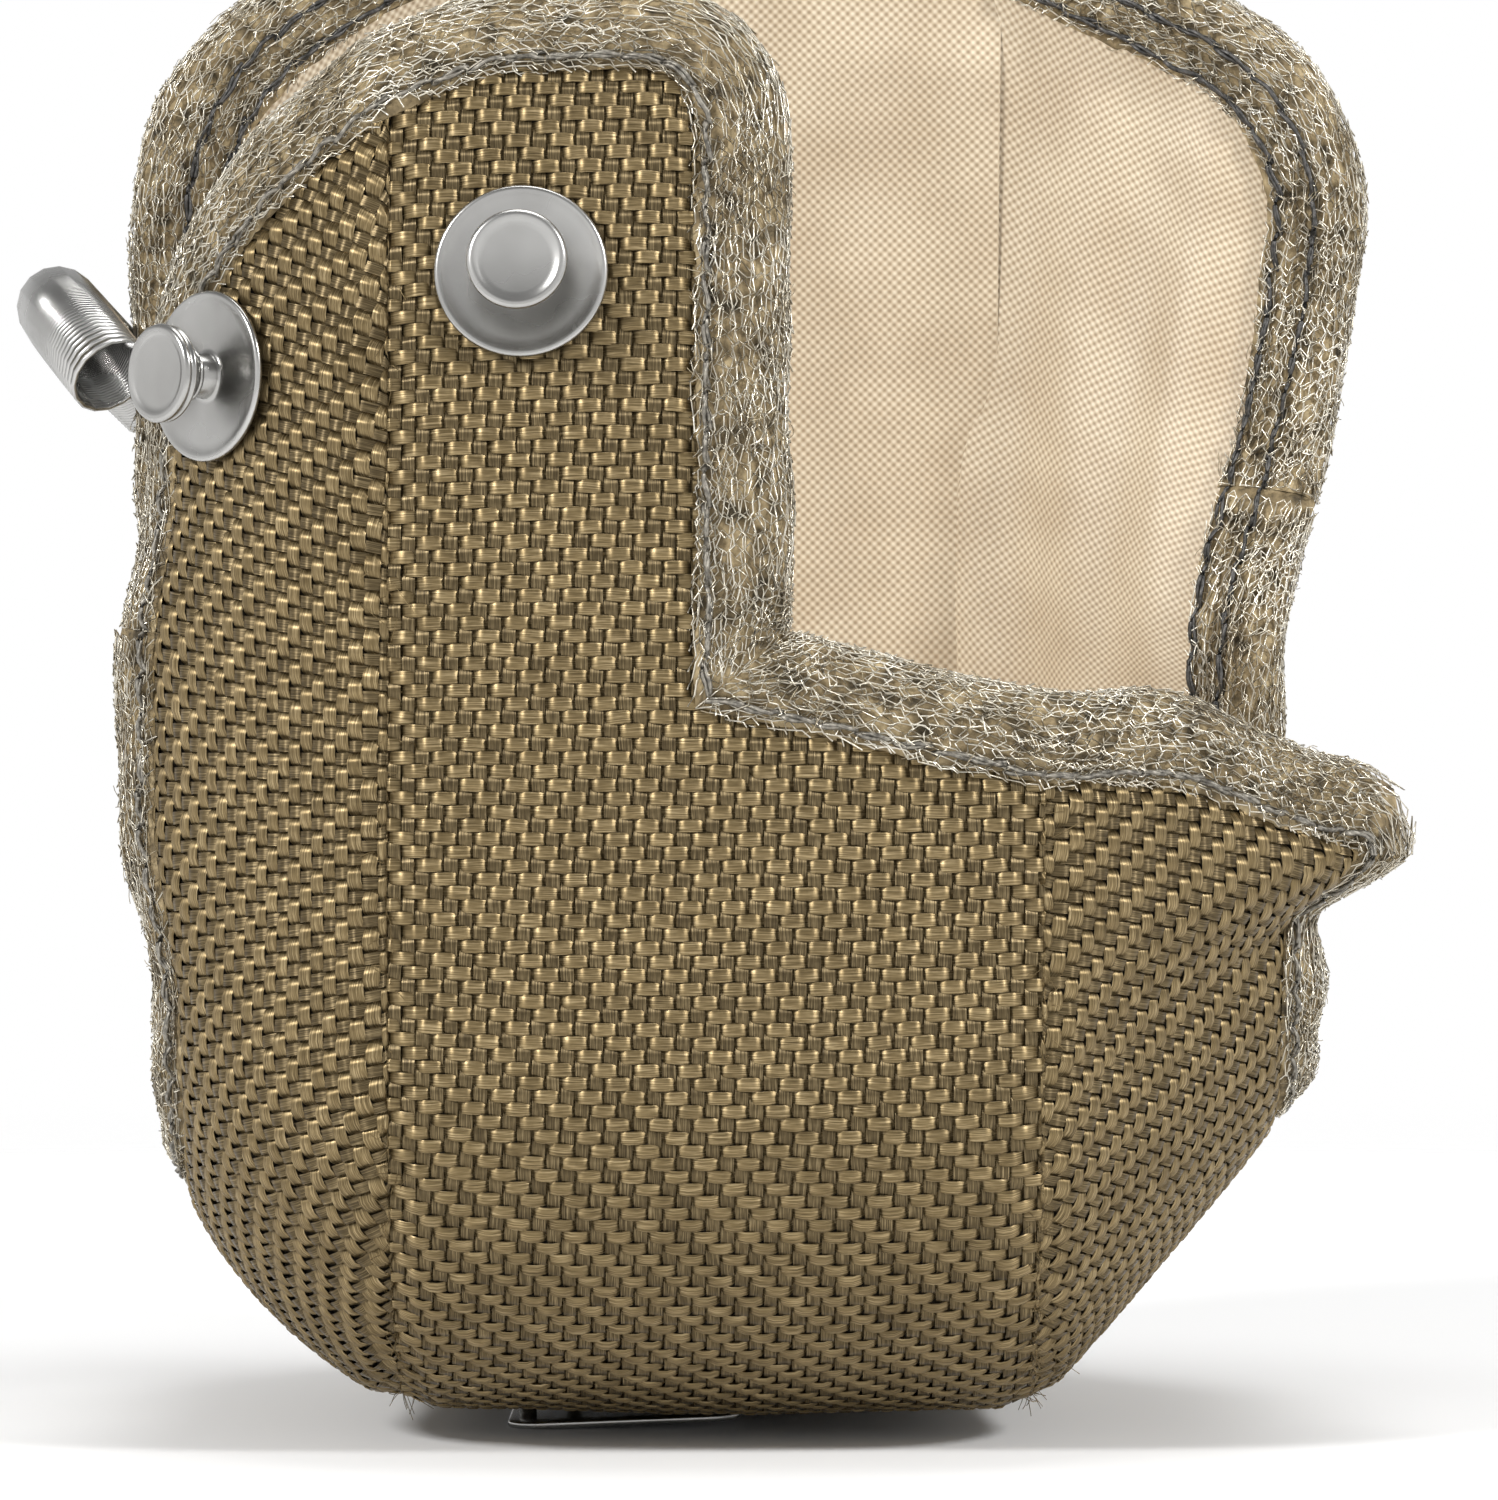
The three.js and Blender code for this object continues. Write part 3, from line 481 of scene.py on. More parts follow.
def fibre_material():
    """Matted tan fibre, painted darker in the hollows of its bump as shade."""
    material, tree, shader = new_material("tan_fibre", 0.9)
    clumps = noise(tree, "Object", 420, 4)
    shades = [(0.32, (0.05, 0.038, 0.02)), (0.5, (0.24, 0.18, 0.095)), (0.7, (0.48, 0.38, 0.22))]
    colour = ramp(tree, clumps, shades)
    tree.links.new(colour, shader.inputs["Base Color"])
    bump(tree, shader, clumps, 0.9, 0.8)
    return material


def wire_material():
    material, tree, shader = new_material("hem_wire", 0.34, 0.85)
    tarnish = noise(tree, "Object", 160, 2)
    shades = [(0.3, (0.44, 0.39, 0.30)), (0.5, (0.72, 0.67, 0.56)), (0.75, (0.92, 0.88, 0.78))]
    colour = ramp(tree, tarnish, shades)
    tree.links.new(colour, shader.inputs["Base Color"])
    return material


def thread_material(name, dark, light):
    material, tree, shader = new_material(name, 0.45, 0.6)
    strands = noise(tree, "Object", 1500, 2)
    tree.links.new(ramp(tree, strands, [(0.3, dark), (0.7, light)]), shader.inputs["Base Color"])
    bump(tree, shader, strands, 0.6, 0.1)
    return material


def steel_material():
    """Bright stamped steel with fine turning marks and a few dull patches."""
    material, tree, shader = new_material("bright_steel", 0.2, 1.0)
    marks = noise(tree, "Object", 2600, 2)
    patches = noise(tree, "Object", 70, 3)
    colour = ramp(tree, patches, [(0.3, (0.36, 0.355, 0.34)), (0.7, (0.52, 0.515, 0.5))])
    tree.links.new(colour, shader.inputs["Base Color"])
    rough = tree.nodes.new("ShaderNodeMapRange")
    rough.inputs["To Min"].default_value = 0.16
    rough.inputs["To Max"].default_value = 0.36
    tree.links.new(patches, rough.inputs["Value"])
    tree.links.new(rough.outputs["Result"], shader.inputs["Roughness"])
    bump(tree, shader, marks, 0.12, 0.03)
    return material


def lining_material():
    """Fine plain weave of pale satin yarn, one yarn every LINING_YARN of the cloth's own millimetres. Its
    colour follows the weave's height: darker in the valleys as painted shade, lighter on the crowns as
    painted highlight.
    """
    material, tree, shader = new_material("pale_lining", 0.5, 0.0, Sheen_Weight=0.25)
    coordinates = tree.nodes.new("ShaderNodeTexCoord")
    parts = tree.nodes.new("ShaderNodeSeparateXYZ")
    tree.links.new(coordinates.outputs["UV"], parts.inputs["Vector"])
    waves = []
    for axis in "XY":
        scale = tree.nodes.new("ShaderNodeMath")
        scale.operation = "MULTIPLY"
        scale.inputs[1].default_value = math.pi / LINING_YARN
        wave = tree.nodes.new("ShaderNodeMath")
        wave.operation = "SINE"
        tree.links.new(parts.outputs[axis], scale.inputs[0])
        tree.links.new(scale.outputs["Value"], wave.inputs[0])
        waves.append(wave.outputs["Value"])
    weave = tree.nodes.new("ShaderNodeMath")
    weave.operation = "MULTIPLY"
    tree.links.new(waves[0], weave.inputs[0])
    tree.links.new(waves[1], weave.inputs[1])
    height = tree.nodes.new("ShaderNodeMapRange")
    height.inputs["From Min"].default_value = -1
    tree.links.new(weave.outputs["Value"], height.inputs["Value"])
    level = height.outputs["Result"]
    cloud = noise(tree, "UV", 0.06, 3)
    # Colours by the weave's height: painted shade in the valleys, painted highlight on the crowns.
    shades = [(0.0, (0.36, 0.27, 0.17)), (0.5, (0.62, 0.51, 0.36)), (1.0, (0.82, 0.73, 0.57))]
    woven = ramp(tree, level, shades)
    shade = ramp(tree, cloud, [(0.3, (0.8, 0.76, 0.72)), (0.7, (1, 1, 1))])
    tree.links.new(multiply(tree, woven, shade), shader.inputs["Base Color"])
    bump(tree, shader, level, 0.5, 0.15)
    return material


YARN = yarn_material("yarn", ((0.085, 0.058, 0.024), (0.235, 0.17, 0.078), (0.54, 0.42, 0.235)))
# The cross yarn is the floats' own yarn with its colours darkened as painted shade, for the short floats that
# lie low between the long ones.
SHADED_CROSS_YARN = yarn_material("cross_yarn_painted_shade", ((0.042, 0.029, 0.012), (0.12, 0.086, 0.039), (0.34, 0.26, 0.14)))
SHADED_GROUND = shaded_ground_material()
FIBRE = fibre_material()
WIRE = wire_material()
THREAD = thread_material("steel_thread", (0.085, 0.078, 0.066), (0.36, 0.335, 0.285))
DARK_THREAD = thread_material("dark_thread", (0.03, 0.03, 0.028), (0.12, 0.115, 0.11))
HAIR = thread_material("loose_fibre", (0.22, 0.17, 0.10), (0.55, 0.48, 0.34))
STEEL = steel_material()
PALE = lining_material()

# Panels: u at the two sides of each one. Their grids run past the ends of the legs, to be trimmed.
FRONT_REACH = front(FRONT_TOP) - 6
REAR_REACH = rear(REAR_RIGHT_TOP) + 6
SEAM_HALF = 0.15
PANELS = {
    "left": (LEFT_RIM, -STRIP_LEFT - SEAM_HALF),
    "strip": (-STRIP_LEFT + SEAM_HALF, STRIP_RIGHT - SEAM_HALF),
    "right": (STRIP_RIGHT + SEAM_HALF, RIGHT_RIM),
}


def panel_grid(low, high, spacing):
    s = np.linspace(FRONT_REACH, REAR_REACH, round((REAR_REACH - FRONT_REACH) / spacing) + 1)
    u = np.linspace(low, high, round((high - low) / spacing) + 1)
    return np.meshgrid(s, u, indexing="ij")


def trimmed(s, u, quads, slack):
    """The quads whose corners all lie within the cloth's edge, or at most slack beyond it."""
    inside = edge_distance(s, u).ravel() > -slack
    return quads[inside[quads].all(axis=1)]


def compact(points, faces, uv):
    used = np.unique(faces)
    index = np.zeros(len(points), int)
    index[used] = np.arange(len(used))
    return points[used], index[faces], uv[used]


def quad_area(points, quads):
    a, b, c, d = (points[quads[:, k]] for k in range(4))
    return np.linalg.norm(np.cross(c - a, d - b), axis=1).sum() / 2


def cut_size(s, u):
    """Width and length in metres that a panel was cut from flat cloth."""
    p, q = u, s
    if abs(u.mean() - STRIP_MIDDLE) > STRIP_HALF:
        p, q = side_flat(s, np.minimum(np.abs(u + STRIP_LEFT), np.abs(u - STRIP_RIGHT)))
    return np.ptp(p) * MM, np.ptp(q) * MM


def cloth(name, low, high, heights, material, spacing, slack=0.8, folds=None):
    """One sheet or, with two heights, a closed pad of the panel, cut to the edge. Also its flat size."""
    s, u = panel_grid(low, high, spacing)
    quads = trimmed(s, u, grid_faces(*s.shape), slack)
    uv = np.stack([u, s], -1).reshape(-1, 2)
    extra = relief(s, u) * 0.8 if folds is None else folds(s, u)
    layers = [lift(s, u, height + extra).reshape(-1, 3) for height in heights]
    used = np.unique(quads)
    flat = cut_size(s.ravel()[used], u.ravel()[used])
    area = min(quad_area(layers[0], quads) * MM * MM, flat[0] * flat[1])
    if len(heights) == 1:
        points, faces, uv = compact(layers[0], quads, uv)
        return mesh_object(name, points, faces[:, ::-1], material, uv), flat, area
    count = s.size
    directed = {(a, b) for quad in quads.tolist() for a, b in zip(quad, quad[1:] + quad[:1])}
    rim = np.array([(a, b, b + count, a + count) for a, b in sorted(directed) if (b, a) not in directed])
    faces = np.concatenate([quads[:, ::-1], quads + count, rim])
    points, faces, uv = compact(np.concatenate(layers), faces, np.concatenate([uv, uv]))
    return mesh_object(name, points, faces, material, uv), flat, area


# The width from its seam at which a side panel is as long as the outline.
EVEN_WIDTH = 6


def side_flat(s, a):
    """Where a point of a side panel lies in the flat cloth, whose yarns run along Y and Z."""
    y, z = outline(s)
    reach = np.hypot(y, AXIS_HEIGHT - z)
    inward = a - EVEN_WIDTH
    return y - inward * y / reach, z + inward * (AXIS_HEIGHT - z) / reach


def side_chart(p, q, width):
    """The inverse of side_flat, by Newton's method from the nearest of a grid of points."""
    s0, a0 = np.meshgrid(np.linspace(FRONT_REACH, REAR_REACH, 240), np.linspace(-4, width + 3, 18))
    s0, a0 = s0.ravel(), a0.ravel()
    y0, z0 = side_flat(s0, a0)
    p_flat, q_flat = p.ravel(), q.ravel()
    nearest = np.concatenate([
        np.argmin((y0 - pp[:, None]) ** 2 + (z0 - qq[:, None]) ** 2, axis=1)
        for pp, qq in zip(np.array_split(p_flat, 40), np.array_split(q_flat, 40))
    ])
    s, a = s0[nearest], a0[nearest]
    step = 0.01
    for _ in range(6):
        y, z = side_flat(s, a)
        ys, zs = side_flat(s + step, a)
        ya, za = side_flat(s, a + step)
        j11, j21, j12, j22 = (ys - y) / step, (zs - z) / step, (ya - y) / step, (za - z) / step
        det = j11 * j22 - j12 * j21
        det = np.where(np.abs(det) < 1e-3, 1e-3, det)
        ry, rz = p_flat - y, q_flat - z
        s = s + np.clip((j22 * ry - j12 * rz) / det, -8, 8)
        a = a + np.clip((j11 * rz - j21 * ry) / det, -8, 8)
    y, z = side_flat(s, a)
    good = np.hypot(y - p_flat, z - q_flat) < 0.02
    return s.reshape(p.shape), a.reshape(p.shape), good.reshape(p.shape)


def floats(extent_e, extent_f, pitch_e, pitch_f, step):
    """Centres of the long floats, over two yarns, and of the short ones, over one, of a 2/1 twill."""
    r = np.arange(math.floor(extent_f[0] / pitch_f), math.ceil(extent_f[1] / pitch_f))
    k = np.arange(math.floor(extent_e[0] / pitch_e / 3) - 3, math.ceil(extent_e[1] / pitch_e / 3) + 3)
    r, k = np.meshgrid(r, k, indexing="ij")
    start = 3 * k + (step * r) % 3
    f = (r.ravel() + 0.5) * pitch_f
    long_e = (start.ravel() + 1.0) * pitch_e
    short_e = (start.ravel() + 2.5) * pitch_e
    return (long_e, f), (short_e, f)


# A float's shape: half its length and width in yarns, the points along and across it, its height in the
# middle, how far and how sharply its ends dive, and its twist.
LONG_FLOAT = {
    "reach": 1.36, "half": 0.51, "along": 6, "across": (-1, -0.84, 0.84, 1),
    "rise": 0.34, "drop": 1.25, "power": 2.4, "twist": 0.03,
}
SHORT_FLOAT = {
    "reach": 0.98, "half": 0.45, "along": 4, "across": (-1, 1),
    "rise": 0.36, "drop": 0.75, "power": 3.5, "twist": 0.12,
}
FLOAT_EDGE_DROP = 0.14


def patches(centre_e, centre_f, pitch_e, pitch_f, shape):
    """Grids of (e, f, height) over each float: it arches along e, and is flat across f with crisp edges."""
    half_e, half_f = shape["reach"] * pitch_e, shape["half"] * pitch_f
    t = np.linspace(-1, 1, shape["along"])[None, :, None]
    v = np.array(shape["across"])[None, None, :]
    count = len(centre_e)
    wobble = random.normal(0, 1, (4, count, 1, 1))
    turn = 0.03 * wobble[0]
    e = centre_e[:, None, None] + half_e * (t + 0.03 * wobble[1]) - turn * v * half_f
    f = centre_f[:, None, None] + half_f * v * (1 + 0.03 * wobble[2]) + turn * t * half_e
    arch = shape["rise"] - shape["drop"] * np.abs(t) ** shape["power"]
    edge = np.where(np.abs(v) > 0.95, -FLOAT_EDGE_DROP, 0)
    height = arch + edge + shape["twist"] * t * v + 0.03 * wobble[3]
    uv = np.stack([
        t * half_e + v * 0 + random.uniform(0, 900, (count, 1, 1)),
        v * half_f + t * 0 + random.uniform(0, 900, (count, 1, 1)),
    ], -1)
    return e + 0 * v, f + 0 * t, height, uv


def twill(name, low, high):
    """The woven face of a panel, float by float: the long floats, and the short ones that cross them."""
    side = name != "strip"
    if side:
        seam = -STRIP_LEFT if name == "left" else STRIP_RIGHT
        width = high - low
        extent_e, extent_f = (-60, 200), (-75, 75)
        step = 2 if name == "left" else 1
        pitch_e, pitch_f = YARN_ALONG, YARN_ACROSS
    else:
        extent_e, extent_f = (low, high), (FRONT_REACH, REAR_REACH)
        step = 1
        pitch_e, pitch_f = YARN_ACROSS, YARN_ALONG
    pieces = []
    for long_one, (ce, cf) in zip((True, False), floats(extent_e, extent_f, pitch_e, pitch_f, step)):
        keep = (ce > extent_e[0] - 3) & (ce < extent_e[1] + 3)
        ce, cf = ce[keep], cf[keep]
        if side:
            s, a, good = side_chart(cf, ce, width)
            inside = good & (a > -2) & (a < width + 0.5) & (s > FRONT_REACH) & (s < REAR_REACH)
            u = seam - a if name == "left" else seam + a
        else:
            s, u = cf, ce
            inside = (u > low - 2) & (u < high + 2)
        inside &= edge_distance(s, u) > -0.4
        ce, cf = ce[inside], cf[inside]
        if long_one:
            e, f, height, uv = patches(ce, cf, pitch_e, pitch_f, LONG_FLOAT)
        else:
            f, e, height, uv = patches(cf, ce, pitch_f, pitch_e, SHORT_FLOAT)
        if side:
            s, a, _ = side_chart(f, e, width)
            a = np.maximum(a, SEAM_HALF)
            u = seam - a if name == "left" else seam + a
        else:
            s, u = f, np.clip(e, low, high)
        place = lift(s, u, height + relief(s, u) + TWILL_BASE)
        count, n, m = height.shape
        quads = grid_faces(n, m)
        offset = np.arange(count)[:, None, None] * n * m
        outward = quads if long_one == (not side) else quads[:, ::-1]
        faces = (outward[None] + offset).reshape(-1, 4)
        # The short floats take the yarn darkened as painted shade.
        title, material = ("floats", YARN) if long_one else ("cross_floats", SHADED_CROSS_YARN)
        pieces.append(mesh_object(f"{name}_{title}", place, faces, material, uv))
    return pieces


def lining_folds(s, u):
    """Soft folds that run up the legs, and die away at the hems."""
    leg = smooth(90, 150, np.abs(s)) * smooth(0, 14, edge_distance(s, u))
    return leg * (0.8 * np.sin(u / 3.1 + np.sin(s / 26)) + 0.6 * np.sin(u / 7.3 + 1) - 1.5) - 0.4


insulation_top = COVER + LAYER_GAP
lining_top = insulation_top + INSULATION + LAYER_GAP
for panel, (low, high) in PANELS.items():
    heights = (-BACKING_TOP, -COVER)
    ground, flat, area = cloth(f"{panel}_ground", low, high, heights, SHADED_GROUND, 2.6)
    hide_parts(f"{panel}_cover")
    heights = (-insulation_top, -insulation_top - INSULATION)
    pad, _, _ = cloth(f"{panel}_pad", low, high, heights, FIBRE, 4.0, 0)
    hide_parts(f"{panel}_insulation")
    twill(panel, low, high)
    heights = (-lining_top,)
    inner, flat, area = cloth(f"{panel}_inner", low, high, heights, PALE, 1.8, 0.2, lining_folds)
    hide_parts(f"{panel}_lining")

# Hems: a frame along the edge, a fibre core, and knitted wire over it.
EDGE_PLACE = face(EDGE[:, 1], EDGE[:, 0])
EDGE_UP = normal(EDGE[:, 1], EDGE[:, 0], 2, own=False)


def edge_out():
    """The way out of the cloth at each point of the edge, mitred at corners."""
    way = np.roll(EDGE_PLACE, -1, axis=0) - EDGE_PLACE
    two = unit(np.cross(EDGE_UP, way))
    one = unit(np.cross(EDGE_UP, np.roll(way, 1, axis=0)))
    dot = np.sum(one * two, axis=1, keepdims=True)
    return (one + two) / (1 + dot)


EDGE_OUT = edge_out()
HEMS = {
    "left_rim": (EDGE_MARKS[14], EDGE_MARKS[0]),
    "front_top": (EDGE_MARKS[0], EDGE_MARKS[5]),
    "right_rim": (EDGE_MARKS[5], EDGE_MARKS[9]),
    "rear_top": (EDGE_MARKS[9], EDGE_MARKS[14]),
}
HEM_SECTION = np.array([
    (-1.1, -0.7), (-0.9, -0.1), (0.2, -0.05), (1.4, 0.1), (3.2, 0.45), (5.2, 0.35), (7.2, -0.4), (8.7, -1.7),
    (9.4, -3.3), (9.2, -5.0), (8.2, -6.6), (6.2, -7.8), (3.5, -8.5), (1.0, -9.1), (-1.2, -9.3), (-1.6, -8.8),
])


class EdgeRun:
    """A stretch of the edge, measured in millimetres along it."""

    def __init__(self, first, last):
        count = len(EDGE)
        index = [(first + k) % count for k in range((last - first) % count + 1)]
        self.chart = EDGE[index]
        self.up = EDGE_UP[index]
        self.out = EDGE_OUT[index]
        steps = np.linalg.norm(np.diff(EDGE_PLACE[index], axis=0), axis=1)
        self.at = np.concatenate([[0], np.cumsum(steps)])
        self.length = self.at[-1]

    def mixed(self, values, t):
        return np.stack([np.interp(t, self.at, values[:, k]) for k in range(values.shape[1])], -1)

    def point(self, t, out, height):
        """The point at t along the edge, at a distance out from it and a height over the cloth."""
        chart = self.mixed(self.chart, t)
        place = face(chart[..., 1], chart[..., 0])
        up = unit(self.mixed(self.up, t))
        return place + self.mixed(self.out, t) * out[..., None] + up * height[..., None]


SECTION_AT = np.concatenate([[0], np.cumsum(np.linalg.norm(np.diff(HEM_SECTION, axis=0), axis=1))])
SECTION_WAY = unit(np.gradient(HEM_SECTION, axis=0))


def section(v, stand):
    """Out and height of the hem's section, v millimetres round it from its inner edge, and off its skin."""
    out, height, way_out, way_up = (
        np.interp(v, SECTION_AT, values) for values in (*HEM_SECTION.T, *SECTION_WAY.T)
    )
    return out - way_up * stand, height + way_out * stand


def swell(t, v):
    """The uneven thickness of a hem."""
    return 0.28 * np.sin(t / 3.1 + v / 5) * np.sin(v / 2.3 + t / 17) + 0.2 * np.sin(t / 8.7 - v / 3)


def hem_core(name, run):
    t = np.linspace(0, run.length, round(run.length / 1.6) + 1)
    v = np.linspace(0, SECTION_AT[-1], 24)
    t, v = np.meshgrid(t, v, indexing="ij")
    lumps = swell(t, v) + random.normal(0, 0.12, t.shape) - 0.3
    points = run.point(t, *section(v, lumps))
    core = mesh_object(f"{name}_core", points, grid_faces(*t.shape)[:, ::-1], FIBRE)
    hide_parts(f"{name}_hem")


def knit(name, run, layer):
    """Courses of wire loops across the hem, each hooked into the next."""
    courses = math.floor(run.length / KNIT_COURSE)
    wales = math.floor((SECTION_AT[-1] - 0.8) / KNIT_WALE)
    turn = np.linspace(0, 2 * math.pi * wales, wales * 6 + 1)
    across = KNIT_WALE * (turn / (2 * math.pi) + 0.18 * np.sin(2 * turn)) + 0.45 * layer + 0.3
    course = (np.arange(courses) + 0.5)[:, None] * KNIT_COURSE
    along = course + 0.84 * KNIT_COURSE * np.cos(turn)[None]
    phase = random.uniform(0, 6.28, 6)
    drift = 0.45 * np.sin(course / 4.1 + turn / 5 + phase[0])
    drift = drift + 0.3 * np.sin(course / 1.7 - turn / 3 + phase[1])
    across = across[None] + drift + random.normal(0, 0.16, along.shape)
    along = along + 0.4 * np.sin(across / 1.9 + course / 5.3 + phase[2]) + random.normal(0, 0.18, along.shape)
    along = np.clip(along, 0.1, run.length - 0.1)
    stand = 0.16 * np.cos(2 * turn)[None] + 0.28 + swell(along, across) - 0.22 * layer
    stand = stand + random.normal(0, 0.07, along.shape)
    points = run.point(along, *section(np.clip(across, 0, SECTION_AT[-1]), stand))
    tube, quads = tubes(points, KNIT_WIRE, 3)
    mesh_object(f"{name}_knit_{layer + 1}", tube, quads, WIRE)


def stitches(name, run, row, v, length, material):
    """A row of stitches along the hem: two strands twisted together in each."""
    count = math.floor(run.length / length)
    start = np.arange(count) * run.length / count
    t = np.linspace(-0.06, 1.02, 9)
    paths = []
    for strand in (0, math.pi):
        along = start[:, None] + t[None] * length
        turn = strand + t * 5 + random.uniform(0, 6, (count, 1))
        side = v + 0.35 * (t - 0.5) + 0.2 * np.cos(turn) + random.normal(0, 0.12, (count, 1))
        high = 0.62 - 0.8 * np.abs(2 * t - 1) ** 3 + 0.2 * np.sin(turn)
        along = np.clip(along, 0.1, run.length - 0.1)
        paths.append(run.point(along, *section(side + 0 * along, high + 0 * along)))
    points, quads = tubes(np.concatenate(paths), STITCH_RADIUS, 4)
    mesh_object(f"{name}_stitches_{row}", points, quads, material)


def fuzz(name, run, count):
    """Loose fibres and wire ends that stand off the hem."""
    t = run.length * random.random((count, 1))
    v = SECTION_AT[-1] * random.random((count, 1))
    step = np.linspace(0, 1, 4)[None]
    t = t + step * random.normal(0, 1.4, (count, 1))
    v = v + step * random.normal(0, 1.4, (count, 1))
    stand = step * random.uniform(0.3, 1.5, (count, 1)) * (1.2 - 0.6 * step)
    t = np.clip(t, 0.1, run.length - 0.1)
    points = run.point(t, *section(np.clip(v, 0, SECTION_AT[-1]), stand))
    tube, quads = tubes(points, HAIR_RADIUS, 3)
    mesh_object(f"{name}_fuzz", tube, quads, HAIR)


# Rows of stitches: how far round the hem's section each one lies, its stitch length and its thread.
STITCH_ROWS = [
    (2.0, STITCH_LENGTH, THREAD),
    (SECTION_AT[-1] - 2.2, INNER_STITCH_LENGTH, DARK_THREAD),
    (SECTION_AT[-1] - 6.5, INNER_STITCH_LENGTH, DARK_THREAD),
]
for name, (first, last) in HEMS.items():
    run = EdgeRun(first, last)
    hem_core(name, run)
    knit(name, run, 0)
    knit(name, run, 1)
    for row, (place, length, material) in enumerate(STITCH_ROWS, 1):
        stitches(name, run, row, place, length, material)
    fuzz(name, run, round(run.length * FUZZ_PER_MM))


def capstan_place(s, u):
    """A capstan's seat, as (point on the crests of the cloth, up)."""
    up = normal(s, u, 2, own=False)
    return face(s, u) + up * WALE_RIDGE, up


CAPSTANS = {
    "a": capstan_place(front(STRIP_CAPSTAN_HEIGHT), STRIP_CAPSTAN_X),
    "b": capstan_place(front(SIDE_CAPSTAN_HEIGHT), -STRIP_LEFT - SIDE_CAPSTAN_WIDTH),
    "c": capstan_place(rear(STRIP_CAPSTAN_HEIGHT), STRIP_CAPSTAN_X),
    "d": capstan_place(rear(SIDE_CAPSTAN_HEIGHT), -STRIP_LEFT - SIDE_CAPSTAN_WIDTH),
}
# Profiles of (radius, height over the seat). The post's waist takes the spring's hook.
POST_RADIUS = 2.4
WAIST_HEIGHT = 3.7
BACKING_HEIGHT = -LAYERS_DEPTH - 2.05
BASE_PROFILE = [
    (1.5, 0.3), (9.1, 0.25), (9.4, 0.35), (9.52, 0.6), (9.45, 0.9), (9.2, 1.08), (8.9, 1.08), (8.6, 0.95),
    (7.5, 0.82), (5, 0.66), (3.2, 0.62), (2.65, 0.72), (2.42, 1.05), (2.4, 2.95), (2.3, 3.06), (1.5, 3.08),
]
HEAD_PROFILE = [
    (0.001, BACKING_HEIGHT - 1.1), (1.15, BACKING_HEIGHT - 1.1), (1.2, BACKING_HEIGHT - 0.9), (1.2, 3.16),
    (2.3, 3.18), (2.4, 3.28), (2.4, 5.35), (2.55, 5.7), (3.0, 5.85), (4.7, 5.85), (5.15, 5.95), (5.35, 6.2),
    (5.3, 6.45), (5.0, 6.62), (5.1, 6.78), (5.4, 6.95), (5.48, 7.25), (5.35, 7.6), (5.0, 7.8), (4.6, 7.78),
    (4.3, 7.6), (3.6, 7.5), (0.001, 7.5),
]
BACKING_PROFILE = [
    (1.5, BACKING_HEIGHT), (5.9, BACKING_HEIGHT), (6, BACKING_HEIGHT - 0.15), (6, BACKING_HEIGHT - 0.65),
    (5.85, BACKING_HEIGHT - 0.8), (1.5, BACKING_HEIGHT - 0.8), (1.5, BACKING_HEIGHT),
]
for name, place in CAPSTANS.items():
    for part, profile in (("base", BASE_PROFILE), ("head", HEAD_PROFILE), ("backing", BACKING_PROFILE)):
        piece = lathe(f"capstan_{name}_{part}_turned", profile, place, STEEL)
        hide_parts(f"capstan_{name}_{part}")


def spring_end(place, way, stand):
    """Where the spring meets a capstan: the capstan's up, the mouth of the coil, its pull and the hook."""
    point, up = place
    waist = point + up * WAIST_HEIGHT
    back = np.array([0.0, way, 0.0])
    back = unit(back - up * (back @ up))
    side = np.cross(up, back) * way
    radius = POST_RADIUS + SPRING_WIRE / 2 + GAP / 2
    angles = np.radians(np.arange(60, 262, 12))
    bend = waist + radius * (np.outer(np.cos(angles), back) + np.outer(np.sin(angles), side))
    leg = [waist - radius * side + back * reach for reach in np.linspace(0.8, 5, 6)]
    mouth = waist + back * SPRING_SETBACK + up * stand
    return up, back, mouth, mouth + back * SPRING_REACH + [0, 0, SPRING_RISE], np.concatenate([bend, leg])


def joint(a, a_way, b, b_way, count=10):
    """A smooth run of points between two ends with given directions."""
    t = np.linspace(0, 1, count + 2)[1:-1, None]
    reach = 0.8 * np.linalg.norm(b - a)
    return (
        (2 * t ** 3 - 3 * t ** 2 + 1) * a + (t ** 3 - 2 * t ** 2 + t) * a_way * reach
        + (3 * t ** 2 - 2 * t ** 3) * b + (t ** 3 - t ** 2) * b_way * reach
    )


